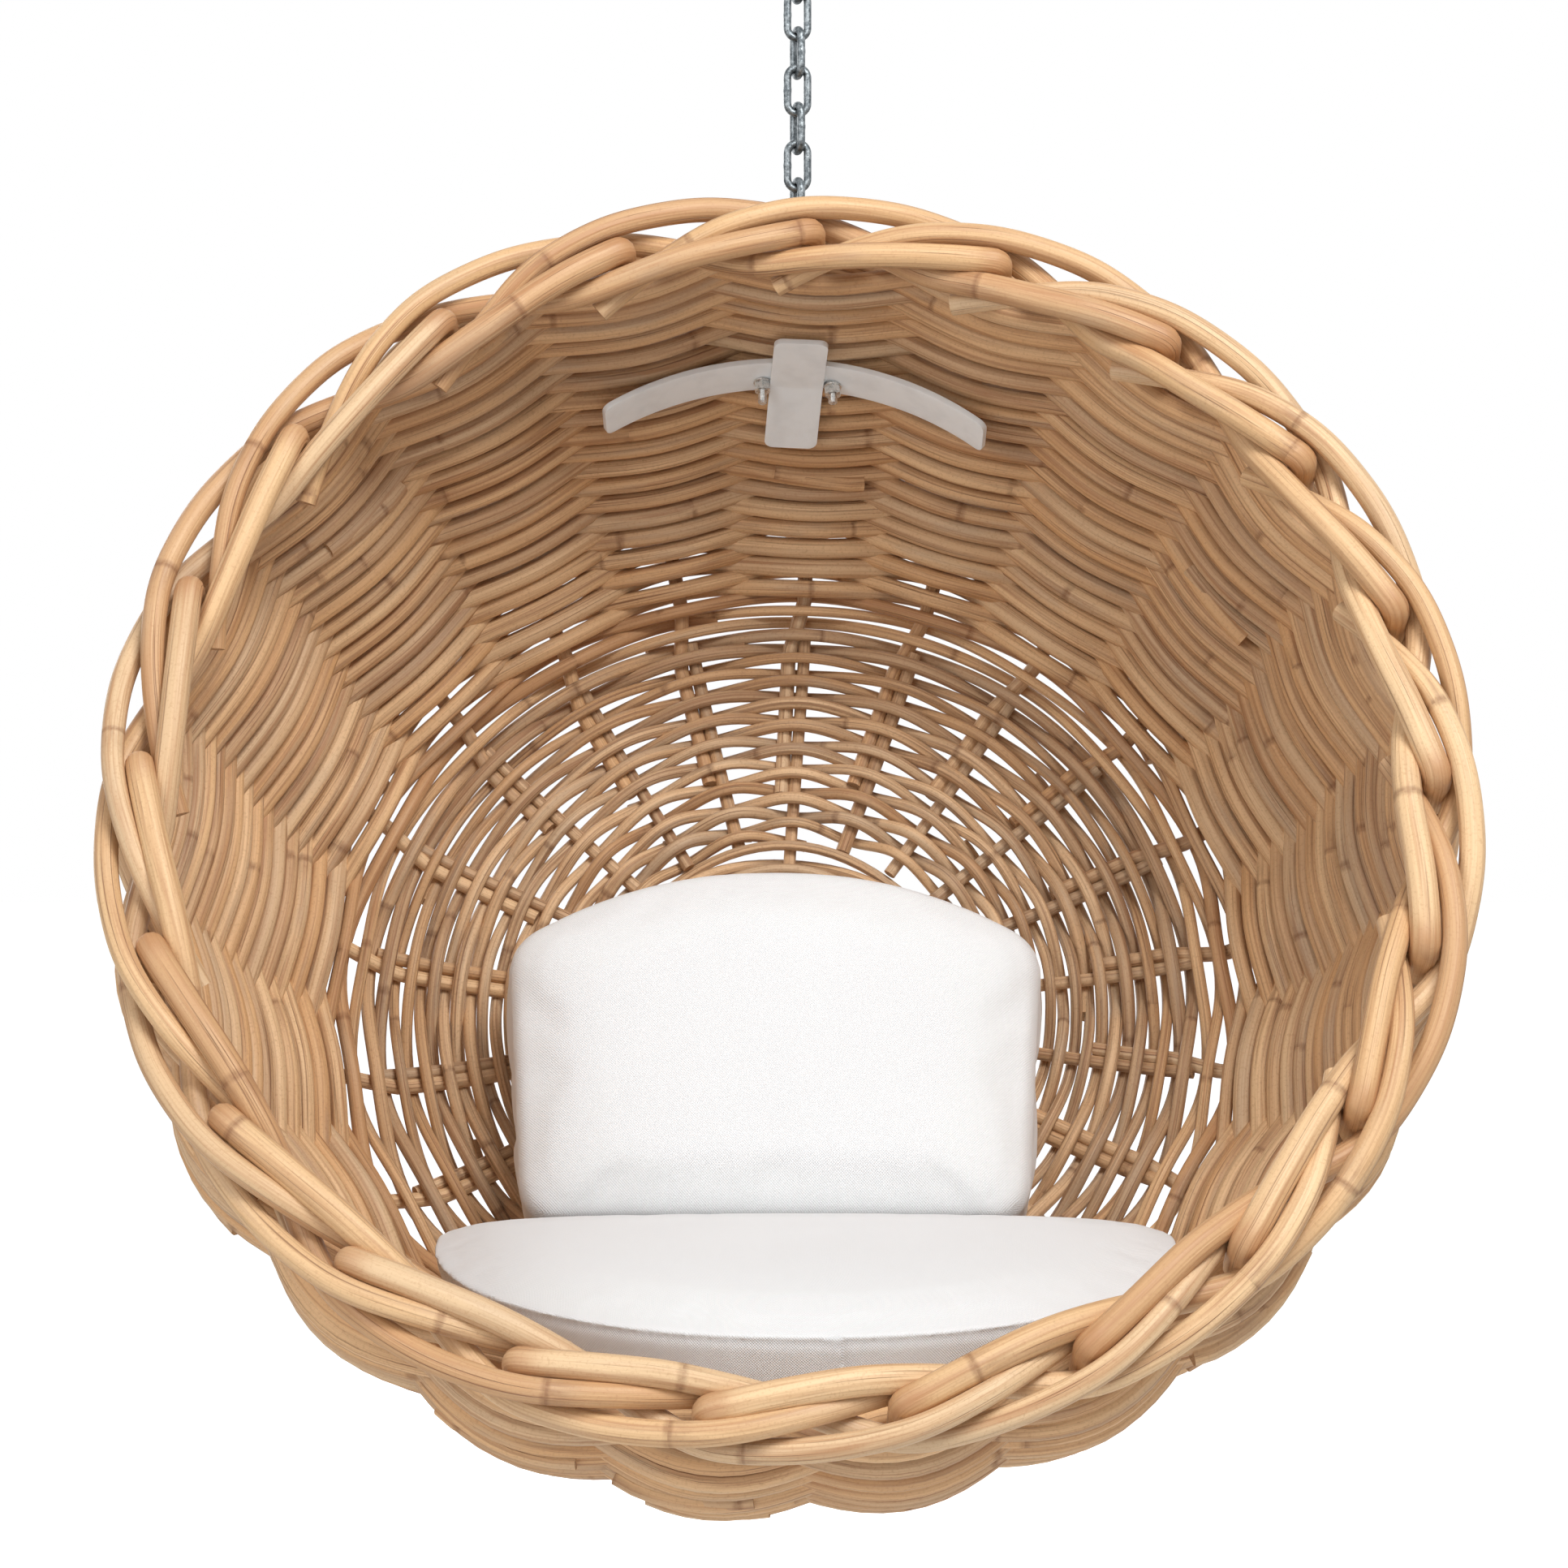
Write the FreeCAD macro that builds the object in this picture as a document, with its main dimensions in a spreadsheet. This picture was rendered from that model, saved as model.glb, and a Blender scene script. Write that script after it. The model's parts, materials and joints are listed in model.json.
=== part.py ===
import FreeCAD, Part
import math
import os

from FreeCAD import Placement, Rotation, Vector

doc = FreeCAD.newDocument("hanging_egg_chair")
doc.addObject("Spreadsheet::Sheet", "Sizes")
sheet = doc.getObject("Sizes")

# Driving dimensions in millimetres and degrees. The opening faces -Y and the chain rises along +Z.
DRIVING = {
    "stake_count": 21,
    "main_stick_step": 3,
    "first_stake_angle": 89.7,
    "stake_angle_drift": 3.2,
    "drift_phase": 130.0,
    "opening_tilt": 25.0,
    "rim_radius": 502.0,
    "rim_cane": 19.4,
    "rim_join": 27.0,
    "basket_depth": 505.0,
    "base_radius": 395.0,
    "base_weave_radius": 375.25,
    "base_dome": 53.0,
    "belly_radius": 517.0,
    "corner_top_radius": 475.64,
    "wall_cane": 15.2,
    "wall_pitch": 16.9,
    "corner_pitch": 17.4,
    "base_cane": 11.2,
    "inner_cane": 10.0,
    "base_pitch": 12.7,
    "row_gap": 1.5,
    "stake_width": 15.0,
    "stake_thickness": 13.0,
    "stick_width": 12.0,
    "stick_thickness": 11.0,
    "main_stick_start": 17.0,
    "short_stick_start": 166.0,
    "end_gap": 1.6,
    "inner_weave_start": 62.0,
    "inner_weave_turns": 6.5,
    "outer_weave_start": 173.0,
    "outer_weave_margin": 6.6,
    "corner_margin": 9.0,
    "wall_margin": 8.0,
    "hang_offset": 12.0,
    "hang_depth": 205.0,
    "chain_wire": 7.0,
    "link_inner_length": 34.0,
    "link_inner_width": 11.0,
    "link_count": 10,
    "joint_gap": 0.3,
    "bolt_rod": 8.0,
    "bolt_spacing": 62.0,
    "bolt_top": 545.0,
    "bolt_tail": 20.0,
    "wall_hole": 9.4,
    "strap_hole": 8.6,
    "nut_bore": 8.2,
    "strap_thickness": 5.0,
    "strap_width": 30.0,
    "strap_span": 340.0,
    "strap_corner": 8.0,
    "strap_clearance": 0.4,
    "plate_width": 44.0,
    "plate_front": 52.0,
    "plate_back": 80.0,
    "plate_bend": 15.0,
    "plate_corner": 6.0,
    "plate_knee": 12.0,
    "plate_gap": 0.05,
    "washer_across": 16.0,
    "washer_thickness": 1.6,
    "washer_gap": 0.02,
    "nut_across": 13.0,
    "nut_height": 8.0,
    "seat_width": 590.0,
    "seat_depth": 330.0,
    "seat_boxing": 68.5,
    "seat_crown": 12.0,
    "seat_underside": 8.0,
    "seat_corner": 46.0,
    "seat_pitch": 8.0,
    "seat_offset": 15.0,
    "seat_back": 212.0,
    "seat_level": -364.0,
    "back_width": 462.0,
    "back_side_height": 240.0,
    "back_arch": 76.0,
    "back_boxing": 94.0,
    "back_crown": 22.0,
    "back_corner": 34.0,
    "back_underside": 16.0,
    "back_offset": -8.0,
    "back_foot": -245.0,
    "back_middle": 397.4,
}
for row, (name, value) in enumerate(DRIVING.items(), start=1):
    sheet.set(f"A{row}", name)
    sheet.set(f"B{row}", str(value))
    sheet.setAlias(f"B{row}", name)
doc.recompute()


def size(name):
    return float(sheet.get(name))


def publish(label, shape, place):
    """Puts one finished piece into the document under the name of its node."""
    piece = doc.addObject("Part::Feature", label)
    piece.Label = label
    piece.Shape = shape
    piece.Placement = place
    return piece


# The chain hangs from the origin, and the U-bolt's bow hangs in its last link.
wire = size("chain_wire")
link_inner = size("link_inner_length")
link_pitch = link_inner - size("joint_gap")
link_count = int(size("link_count"))
bow_level = size("bolt_rod") / 2 - link_pitch * link_count

# The basket's own frame has X to the right, Y up in the plane of the rim and Z out of the opening.
turn = Rotation(Vector(1, 0, 0), 90 - size("opening_tilt"))
bow_in_basket = Vector(
    size("hang_offset"),
    size("bolt_top") + size("bolt_spacing") / 2,
    -size("hang_depth"),
)
basket = Placement(Vector(0, 0, bow_level) - turn.multVec(bow_in_basket), turn)


def stake_angle(step):
    """The angle of a stake, in radians. The spacing drifts a little round the rim, as in the photograph."""
    angle = size("first_stake_angle") + step * 360 / size("stake_count")
    drift = size("stake_angle_drift") * math.cos(math.radians(angle - size("drift_phase")))
    return math.radians(angle - drift)


def basket_point(angle, radius, depth):
    return Vector(radius * math.cos(angle), radius * math.sin(angle), -depth)


# The middle surface of the weave, as one smooth profile from the centre of the base to the rim.
base_edge = size("basket_depth") - size("base_dome")
profile = Part.BSplineCurve()
profile.interpolate(
    [
        Vector(0, size("basket_depth"), 0),
        Vector(0.6 * size("base_radius"), base_edge + 0.65 * size("base_dome"), 0),
        Vector(size("base_radius"), base_edge, 0),
        Vector(0.885 * size("belly_radius"), 0.75 * size("basket_depth"), 0),
        Vector(0.95 * size("belly_radius"), 0.555 * size("basket_depth"), 0),
        Vector(0.99 * size("belly_radius"), 0.36 * size("basket_depth"), 0),
        Vector(size("belly_radius"), 0.2 * size("basket_depth"), 0),
        Vector(size("rim_radius"), 0.03 * size("basket_depth"), 0),
    ]
)
profile_length = profile.length()


def on_profile(distance):
    """(radius, depth), the direction towards the rim and the direction into the basket, at a distance from the centre."""
    at = profile.parameterAtDistance(distance, profile.FirstParameter)
    point = profile.value(at)
    along = profile.tangent(at)[0]
    return point, along, Vector(along.y, -along.x, 0)


def distance_at(value, axis):
    """The distance from the centre at which the profile first reaches a radius (axis 0) or comes up to a depth (axis 1)."""
    low, high = 0.0, profile_length
    for _ in range(40):
        middle = (low + high) / 2
        point = on_profile(middle)[0]
        beyond = point.x > value if axis == 0 else point.y < value
        low, high = (low, middle) if beyond else (middle, high)
    return low


def bend_places(first, last, runs):
    """Distances that part the profile into straight runs, shorter where it turns faster, from first to last."""
    samples = 60
    turn_on_straights = 0.0003
    step = (last - first) / samples
    travelled = [0.0]
    for n in range(samples):
        before = on_profile(first + step * n)[1]
        after = on_profile(first + step * (n + 1))[1]
        turning = before.getAngle(after) + turn_on_straights * step
        travelled.append(travelled[-1] + math.sqrt(step * turning))
    places = [first]
    for n in range(1, samples):
        if travelled[n] / travelled[-1] >= len(places) / runs:
            places.append(first + step * n)
    return places[:runs] + [last]


def cane(points, across, up, sides, up_hint):
    """A cane along straight runs with mitred bends. across and up are its two widths, up lying near up_hint."""
    run = (points[1] - points[0]).normalize()
    side = run.cross(up_hint).normalize()
    upward = side.cross(run).normalize()
    if sides == 4:
        corners = [(-0.5, -0.5), (0.5, -0.5), (0.5, 0.5), (-0.5, 0.5)]
    elif sides == 6:
        corners = [(-0.5, 0), (-0.25, -0.5), (0.25, -0.5), (0.5, 0), (0.25, 0.5), (-0.25, 0.5)]
    else:
        turns = [2 * math.pi * (k + 0.5) / sides for k in range(sides)]
        corners = [(0.5 * math.cos(a), 0.5 * math.sin(a)) for a in turns]
    ring = [points[0] + side * (across * a) + upward * (up * b) for a, b in corners]
    section = Part.makePolygon(ring + [ring[0]])
    spine = Part.makePolygon(points)
    solid = Part.Wire(spine.Edges).makePipeShell([section], True, False, 1)
    return solid if solid.Volume > 0 else solid.reversed()


def reach(radius, count, upright, weaver, half_width):
    """How far a row stands off the middle surface to pass over an upright, for its straight runs between two uprights."""
    chord = 2 * radius * math.sin(math.pi / count)
    crossed = half_width + weaver / 2 * math.tan(math.pi / count)
    off = upright / 2 + weaver / 2
    for _ in range(12):
        slope = 2 * off / chord
        off = upright / 2 + weaver / 2 * math.hypot(1, slope) + crossed * slope + size("row_gap")
    return off


def weave(first, last, start, spacing, weaver, upright, half_width, sides, stride=1):
    """One unbroken cane, woven in a spiral before and behind the uprights, from step first to step last."""
    count = int(size("stake_count") / stride)
    lead, trail = 0.25, 0.2
    steps = [first + lead] + list(range(first + 1, last + 1)) + [last + trail]

    def vertex(step):
        distance = start + spacing * (step - first) / count
        point, along, inward = on_profile(distance)
        off = reach(point.x, count, upright, weaver, half_width) * (1 if step % 2 else -1)
        seat = point + inward * off
        return basket_point(stake_angle(step * stride), seat.x, seat.y)

    points = []
    for step in steps:
        before = vertex(math.floor(step))
        after = vertex(math.floor(step) + 1)
        points.append(before + (after - before) * (step - math.floor(step)))
    along = on_profile(start + spacing * (last - first) / count / 2)[1]
    angle = stake_angle(steps[0] * stride)
    hint = basket_point(angle, along.x, along.y)
    return cane(points, weaver, weaver, sides, hint)


# Base: seven main sticks run from the centre, and two by-stakes join between each pair of them.
# They end just past the last turn of the base's weavers, so their ends follow its spiral.
stake_count = int(size("stake_count"))
stride = int(size("main_stick_step"))
base_first = size("outer_weave_start")
base_last = distance_at(size("base_weave_radius"), 0)
base_steps = int((base_last - base_first) / size("base_pitch") * stake_count)
last_turn = base_first + size("base_pitch") * (base_steps / stake_count - 1)


def stick_end(k):
    """The distance from the centre at which stick k ends and side stake k begins."""
    share = (k - base_steps) % stake_count / stake_count
    return last_turn + size("base_pitch") * share + size("outer_weave_margin")


sticks = []
for k in range(stake_count):
    start, runs = (size("main_stick_start"), 6) if k % stride == 0 else (size("short_stick_start"), 4)
    places = [on_profile(d)[0] for d in bend_places(start, stick_end(k), runs)]
    points = [basket_point(stake_angle(k), p.x, p.y) for p in places]
    sticks.append(cane(points, size("stick_width"), size("stick_thickness"), 4, Vector(0, 0, 1)))
publish("base_sticks", Part.makeCompound(sticks), basket)

base_weaver = size("base_cane")
base_upright = size("stick_thickness")
half_stick = size("stick_width") / 2
main_sticks = stake_count // stride
inner_steps = int(size("inner_weave_turns") * main_sticks)
inner = weave(
    0, inner_steps, size("inner_weave_start"), size("base_pitch"),
    size("inner_cane"), base_upright, half_stick, 4, stride,
)
publish("base_weave_inner", inner, basket)

base_half = base_steps // 2
for label, first, last in (
    ("base_weave_middle", 0, base_half),
    ("base_weave_outer", base_half, base_steps - 1),
):
    start = base_first + size("base_pitch") * first / stake_count
    row = weave(first, last, start, size("base_pitch"), base_weaver, base_upright, half_stick, 4)
    publish(label, row, basket)

# Corner and wall: thicker canes pass before and behind the side stakes.
wall_weaver = size("wall_cane")
wall_upright = size("stake_thickness")
half_stake = size("stake_width") / 2
corner_first = stick_end(base_steps) + size("corner_margin")
corner_end = distance_at(size("corner_top_radius"), 0)
corner_steps = int((corner_end - corner_first) / size("corner_pitch") * stake_count)
corner_rows = []
parts_of_corner = 3
for n in range(parts_of_corner):
    first = base_steps + corner_steps * n // parts_of_corner
    last = base_steps + corner_steps * (n + 1) // parts_of_corner
    start = corner_first + size("corner_pitch") * (first - base_steps) / stake_count
    corner_rows.append(
        weave(first, last, start, size("corner_pitch"), wall_weaver, wall_upright, half_stake, 6)
    )
publish("weave_corner", Part.makeCompound(corner_rows), basket)

wall_first = corner_first + size("corner_pitch") * corner_steps / stake_count
wall_last = distance_at(size("rim_join") + size("wall_margin"), 1)
wall_steps = int((wall_last - wall_first) / size("wall_pitch") * stake_count)
first_wall_step = base_steps + corner_steps
leg_places = [size("hang_offset") + s * size("bolt_spacing") / 2 for s in (-1, 1)]
wall_bands = 4
for n in range(wall_bands):
    first = first_wall_step + wall_steps * n // wall_bands
    last = first_wall_step + wall_steps * (n + 1) // wall_bands
    start = wall_first + size("wall_pitch") * (first - first_wall_step) / stake_count
    band = weave(first, last, start, size("wall_pitch"), wall_weaver, wall_upright, half_stake, 6)
    for x in leg_places:
        ends = [Vector(x, size(end), -size("hang_depth")) for end in ("base_radius", "bolt_top")]
        hole = cane(ends, size("wall_hole"), size("wall_hole"), 8, Vector(0, 0, 1))
        if band.distToShape(hole)[0] == 0:
            band = band.cut(hole)
    publish(f"weave_wall_{n + 1}", band, basket)

# Side stakes: each starts at the end of a base stick and stops under the border.
stake_end = distance_at(size("rim_join"), 1)
past_join = distance_at(size("rim_join") - size("stake_thickness") / 2, 1)
far = 2 * size("rim_radius")
under_border = Part.makeBox(2 * far, 2 * far, far, Vector(-far, -far, -size("rim_join") - far))
border_side = under_border.translated(Vector(0, 0, far))
stake_runs = 10
stakes = []
for k in range(stake_count):
    stations = bend_places(stick_end(k) + size("end_gap"), stake_end, stake_runs) + [past_join]
    places = [on_profile(d)[0] for d in stations]
    points = [basket_point(stake_angle(k), p.x, p.y) for p in places]
    stake = cane(points, size("stake_width"), size("stake_thickness"), 4, Vector(0, 0, 1))
    stakes.append(stake.common(under_border))
publish("side_stakes", Part.makeCompound(stakes), basket)

# Rim border: the end of each stake turns over and runs on for four stakes more: along the inner edge, down
# behind the next two canes, up the outer edge and back over the front, to end cut off inside the basket. Its
# bends are (steps along the rim, out from the rim's circle, forward of the rim's plane).
BORDER_ROUTE = (
    (0.0, 0.0, -35.0),
    (0.0, -2.0, 14.0),
    (0.35, -17.0, 20.0),
    (0.75, -27.0, 17.0),
    (1.05, -27.0, 7.0),
    (1.35, -22.0, -11.0),
    (1.98, 23.0, -14.0),
    (2.55, 29.0, 5.0),
    (3.05, 22.0, 17.0),
    (3.48, 3.0, 18.0),
    (3.85, -16.0, -3.0),
    (4.2, -33.0, -23.0),
)
hexagon_height = math.cos(math.radians(30)) * size("rim_cane")
strands = []
for k in range(stake_count):
    points = [
        basket_point(stake_angle(k + along), size("rim_radius") + out, -forward)
        for along, out, forward in BORDER_ROUTE
    ]
    strand = cane(points, size("rim_cane"), hexagon_height, 6, points[0])
    strands.append(strand.common(border_side))
publish("rim_border", Part.makeCompound(strands), basket)

# Chain: every link is a wire ring of straight legs and half-round ends, turned a quarter from the last.
leg_spacing = size("link_inner_width") + wire
link_height = link_inner + wire


def link_ring():
    """A closed ring of wire in the XZ plane, its inner top at the origin."""
    bends = 6
    radius = leg_spacing / 2
    centres = (wire / 2 - radius, wire / 2 - link_height + radius)
    corners = radius / math.cos(math.pi / bends / 2)
    points = []
    for n in range(2 * bends):
        a = math.pi * (n + 0.5) / bends
        level = centres[0] if n < bends else centres[1]
        points.append(Vector(corners * math.cos(a), 0, level + corners * math.sin(a)))
    middle = (points[0] + points[-1]) * 0.5
    return cane([middle] + points + [middle], wire, wire, 8, Vector(0, 1, 0))


for k in range(link_count):
    facing = Rotation(Vector(0, 0, 1), 0 if k % 2 == 0 else 90)
    place = Placement(Vector(0, 0, -k * link_pitch), facing)
    publish(f"chain_link_{k + 1:02d}", link_ring(), place)

# U-bolt: its legs pass through the wall between the canes, and nuts inside draw it down on the strap.
row_reach = reach(size("belly_radius"), stake_count, wall_upright, wall_weaver, half_stake)
strap_edges = [size("hang_depth") + s * size("strap_width") / 2 for s in (-1, 1)]
inner_faces = [on_profile(distance_at(d, 1))[0].x - row_reach - wall_weaver / 2 for d in strap_edges]
strap_outer = min(inner_faces) - size("strap_clearance")
strap_inner = strap_outer - size("strap_thickness")
strap_flats = 12
half_angle = size("strap_span") / 2 / strap_inner


def strap_level(x):
    """The height of the middles of the strap's inner flats at a place across the basket."""
    return math.sqrt((strap_inner * math.cos(half_angle / strap_flats)) ** 2 - x**2)


bow_radius = size("bolt_spacing") / 2
leg_end = strap_level(max(leg_places)) - size("bolt_tail")
bow_bends = 8
bolt_points = [Vector(leg_places[0], leg_end, -size("hang_depth"))]
bow_corners = bow_radius / math.cos(math.pi / bow_bends / 2)
for n in range(bow_bends):
    a = math.pi * (1 - (n + 0.5) / bow_bends)
    bolt_points.append(
        Vector(
            size("hang_offset") + bow_corners * math.cos(a),
            size("bolt_top") + bow_corners * math.sin(a),
            -size("hang_depth"),
        )
    )
bolt_points.append(Vector(leg_places[1], leg_end, -size("hang_depth")))
bolt = cane(bolt_points, size("bolt_rod"), size("bolt_rod"), 8, Vector(0, 0, 1))
publish("u_bolt", bolt, basket)


def origin_plane(body, role):
    return [f for f in body.Origin.OriginFeatures if f.Role == role][0]


def sketch_on(body, name, role):
    """An empty sketch on one of the body's own planes."""
    sketch = body.newObject("Sketcher::SketchObject", name)
    sketch.AttachmentSupport = [(origin_plane(body, role), "")]
    sketch.MapMode = "FlatFace"
    return sketch


def hidden(piece):
    piece.Visibility = False
    return piece


# Strap: a flat bar bent to the curve of the wall, with its four corners rounded off.
strap = doc.addObject("PartDesign::Body", "bracket_strap")
strap.Label = "bracket_strap"
outline = sketch_on(strap, "strap_outline", "XY_Plane")
outline.setExpression("AttachmentOffset.Base.z", "-Sizes.hang_depth")
middle_angle = math.pi / 2 - size("hang_offset") / strap_inner
turns = [middle_angle + half_angle * (2 * n / strap_flats - 1) for n in range(strap_flats + 1)]
bends = [Vector(math.cos(a), math.sin(a), 0) * strap_outer for a in turns]
bends += [Vector(math.cos(a), math.sin(a), 0) * strap_inner for a in reversed(turns)]
for a, b in zip(bends, bends[1:] + bends[:1]):
    outline.addGeometry(Part.LineSegment(a, b), False)
bar = strap.newObject("PartDesign::Pad", "strap_bar")
bar.Profile = outline
bar.Midplane = True
bar.setExpression("Length", "Sizes.strap_width")
holes = sketch_on(strap, "strap_holes", "XZ_Plane")
hole_radius = size("strap_hole") / 2
for x in leg_places:
    corners = []
    for n in range(8):
        a = math.pi * (n + 0.5) / 4
        corners.append(Vector(x, -size("hang_depth"), 0) + Vector(math.cos(a), math.sin(a), 0) * hole_radius)
    for a, b in zip(corners, corners[1:] + corners[:1]):
        holes.addGeometry(Part.LineSegment(a, b), False)
drill = strap.newObject("PartDesign::Pocket", "strap_drill")
drill.Profile = holes
drill.Midplane = True
drill.Type = "ThroughAll"
doc.recompute()
corner_edges = []
for number, edge in enumerate(strap.Shape.Edges, start=1):
    middle = edge.CenterOfMass
    flat = abs(edge.Length - size("strap_thickness")) < 0.01
    flat = flat and abs(middle.z + size("hang_depth")) > 0.3 * size("strap_width")
    if flat and abs(math.atan2(middle.y, middle.x) - middle_angle) > 0.9 * half_angle:
        corner_edges.append(f"Edge{number}")
rounding = strap.newObject("PartDesign::Chamfer", "strap_corners")
rounding.Base = (drill, corner_edges)
rounding.setExpression("Size", "Sizes.strap_corner")
strap.Tip = rounding
strap.Placement = basket

# Plate: a wider bar along the wall, bent once just behind the nuts so that it follows the taper.
plate = doc.addObject("PartDesign::Body", "bracket_plate")
plate.Label = "bracket_plate"
side_view = sketch_on(plate, "plate_side", "YZ_Plane")
side_view.setExpression("AttachmentOffset.Base.z", "Sizes.hang_offset")
plate_top = strap_level(size("hang_offset") + size("plate_width") / 2) - size("plate_gap")
bend = math.radians(size("plate_bend"))
thickness = size("strap_thickness")
front = -size("hang_depth") + size("plate_front")
knee = -size("hang_depth") - size("plate_knee")
back_run = size("plate_back") - size("plate_knee")
fall = Vector(-math.sin(bend), -math.cos(bend), 0)
inward = Vector(-math.cos(bend), math.sin(bend), 0)
top_knee = Vector(plate_top, knee, 0)
low_knee = Vector(plate_top - thickness, knee + thickness * math.tan(bend / 2), 0)
top_end = top_knee + fall * back_run
corners = [
    Vector(plate_top, front, 0),
    top_knee,
    top_end,
    top_end + inward * thickness,
    low_knee,
    Vector(plate_top - thickness, front, 0),
]
for a, b in zip(corners, corners[1:] + corners[:1]):
    side_view.addGeometry(Part.LineSegment(a, b), False)
slab = plate.newObject("PartDesign::Pad", "plate_slab")
slab.Profile = side_view
slab.Midplane = True
slab.setExpression("Length", "Sizes.plate_width")
doc.recompute()
corner_edges = []
for number, edge in enumerate(plate.Shape.Edges, start=1):
    if abs(edge.Length - thickness) < 0.01:
        corner_edges.append(f"Edge{number}")
rounding = plate.newObject("PartDesign::Fillet", "plate_corners")
rounding.Base = (slab, corner_edges)
rounding.setExpression("Radius", "Sizes.plate_corner")
plate.Tip = rounding
plate.Placement = basket


def ring_pair(label, sides, across, height, level):
    """Two rings of many sides with a bore, one on each leg of the U-bolt, under the strap."""
    rings = []
    for n, x in enumerate(leg_places):
        facing = Rotation(Vector(1, 0, 0), 90)
        place = Placement(Vector(x, level(x), -size("hang_depth")), facing)
        body = hidden(doc.addObject("Part::Prism", f"{label}_body_{n}"))
        body.Polygon = sides
        body.setExpression("Circumradius", f"Sizes.{across} / 2 / cos(180 / {sides})")
        body.setExpression("Height", f"Sizes.{height}")
        body.Placement = place
        bore = hidden(doc.addObject("Part::Prism", f"{label}_bore_{n}"))
        bore.Polygon = 12
        bore.setExpression("Circumradius", "Sizes.nut_bore / 2 / cos(15)")
        bore.setExpression("Height", f"Sizes.{height}")
        bore.Placement = place
        ring = hidden(doc.addObject("Part::Cut", f"{label}_ring_{n}"))
        ring.Base = body
        ring.Tool = bore
        rings.append(ring)
    pair = doc.addObject("Part::Compound", label)
    pair.Label = label
    pair.Links = rings
    pair.Placement = basket


def washer_level(x):
    lowest = strap_level(abs(x) + size("washer_across") / 2 / math.cos(math.pi / 12))
    return lowest - size("washer_gap")


def nut_level(x):
    return washer_level(x) - size("washer_thickness")


ring_pair("bolt_washers", 12, "washer_across", "washer_thickness", washer_level)
ring_pair("bolt_nuts", 6, "nut_across", "nut_height", nut_level)


def cushion(outline, boxing, crown, underside):
    """A padded form: an outline drawn in towards its crown above and below a straight boxing."""
    middle = sum(outline, Vector()) * (1 / len(outline))
    half = boxing / 2
    levels = [
        (0.30, -half - underside),
        (0.66, -half - 0.86 * underside),
        (0.88, -half - 0.5 * underside),
        (0.975, -half - 0.12 * underside),
        (1.0, -0.8 * half),
        (1.0, 0.8 * half),
        (0.975, half + 0.12 * crown),
        (0.88, half + 0.5 * crown),
        (0.66, half + 0.86 * crown),
        (0.30, half + crown),
    ]
    rings = []
    for scale, height in levels:
        rings.append([middle + (p - middle) * scale + Vector(0, 0, height) for p in outline])
    faces = []
    for low, high in zip(rings, rings[1:]):
        for n, corner in enumerate(low):
            m = (n + 1) % len(low)
            faces.append(Part.Face(Part.makePolygon([corner, low[m], high[m], high[n], corner])))
    for ring in (rings[0], rings[-1]):
        faces.append(Part.Face(Part.makePolygon(ring + ring[:1])))
    solid = Part.Solid(Part.Shell(faces))
    return solid if solid.Volume > 0 else solid.reversed()


# Seat cushion: a straight back edge, rounded corners and a bowed front.
half_seat = size("seat_width") / 2
corner = size("seat_corner")
seat_outline = []
for n in range(5):
    a = math.pi / 2 * (1 - n / 4)
    seat_outline.append(
        Vector(half_seat - corner + corner * math.cos(a), -corner + corner * math.sin(a), 0)
    )
bowed = 14
for n in range(1, bowed):
    a = math.pi * n / bowed
    bow = (size("seat_depth") - corner) * math.sin(a)
    seat_outline.append(Vector(half_seat * math.cos(a), -corner - bow, 0))
seat_outline += [Vector(-p.x, p.y, 0) for p in reversed(seat_outline[:5])]
seat = cushion(seat_outline, size("seat_boxing"), size("seat_crown"), size("seat_underside"))
seat_turn = Rotation(Vector(1, 0, 0), size("seat_pitch"))
seat_edge = basket.Base + Vector(size("seat_offset"), size("seat_back"), size("seat_level"))
seat_place = Placement(seat_edge - seat_turn.multVec(Vector(0, 0, size("seat_boxing") / 2)), seat_turn)
publish("seat_cushion", seat, seat_place)

# Back cushion: straight foot and sides under a low arch.
half_back = size("back_width") / 2
foot = size("back_corner")
side_top = size("back_side_height")
right_side = []
for n in range(4):
    a = -math.pi / 2 * (1 - n / 3)
    right_side.append(Vector(half_back - foot + foot * math.cos(a), foot + foot * math.sin(a), 0))
right_side.append(Vector(half_back, side_top * 0.55, 0))
for share in (1.0, 0.985, 0.93, 0.82, 0.62, 0.42, 0.21):
    rise = size("back_arch") * (1 - share**2.2)
    right_side.append(Vector(half_back * share, side_top + rise, 0))
top = [Vector(0, side_top + size("back_arch"), 0)]
back_outline = right_side + top + [Vector(-p.x, p.y, 0) for p in reversed(right_side)]
back = cushion(back_outline, size("back_boxing"), size("back_crown"), size("back_underside"))
back_spot = Vector(size("back_offset"), size("back_foot"), -size("back_middle"))
publish("back_cushion", back, basket.multiply(Placement(back_spot, Rotation())))

NODES = [
    "base_sticks",
    "base_weave_inner",
    "base_weave_middle",
    "base_weave_outer",
    "weave_corner",
    "weave_wall_1",
    "weave_wall_2",
    "weave_wall_3",
    "weave_wall_4",
    "side_stakes",
    "rim_border",
    "u_bolt",
    "bracket_strap",
    "bracket_plate",
    "bolt_washers",
    "bolt_nuts",
    "seat_cushion",
    "back_cushion",
]
NODES += [f"chain_link_{k + 1:02d}" for k in range(link_count)]

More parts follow.
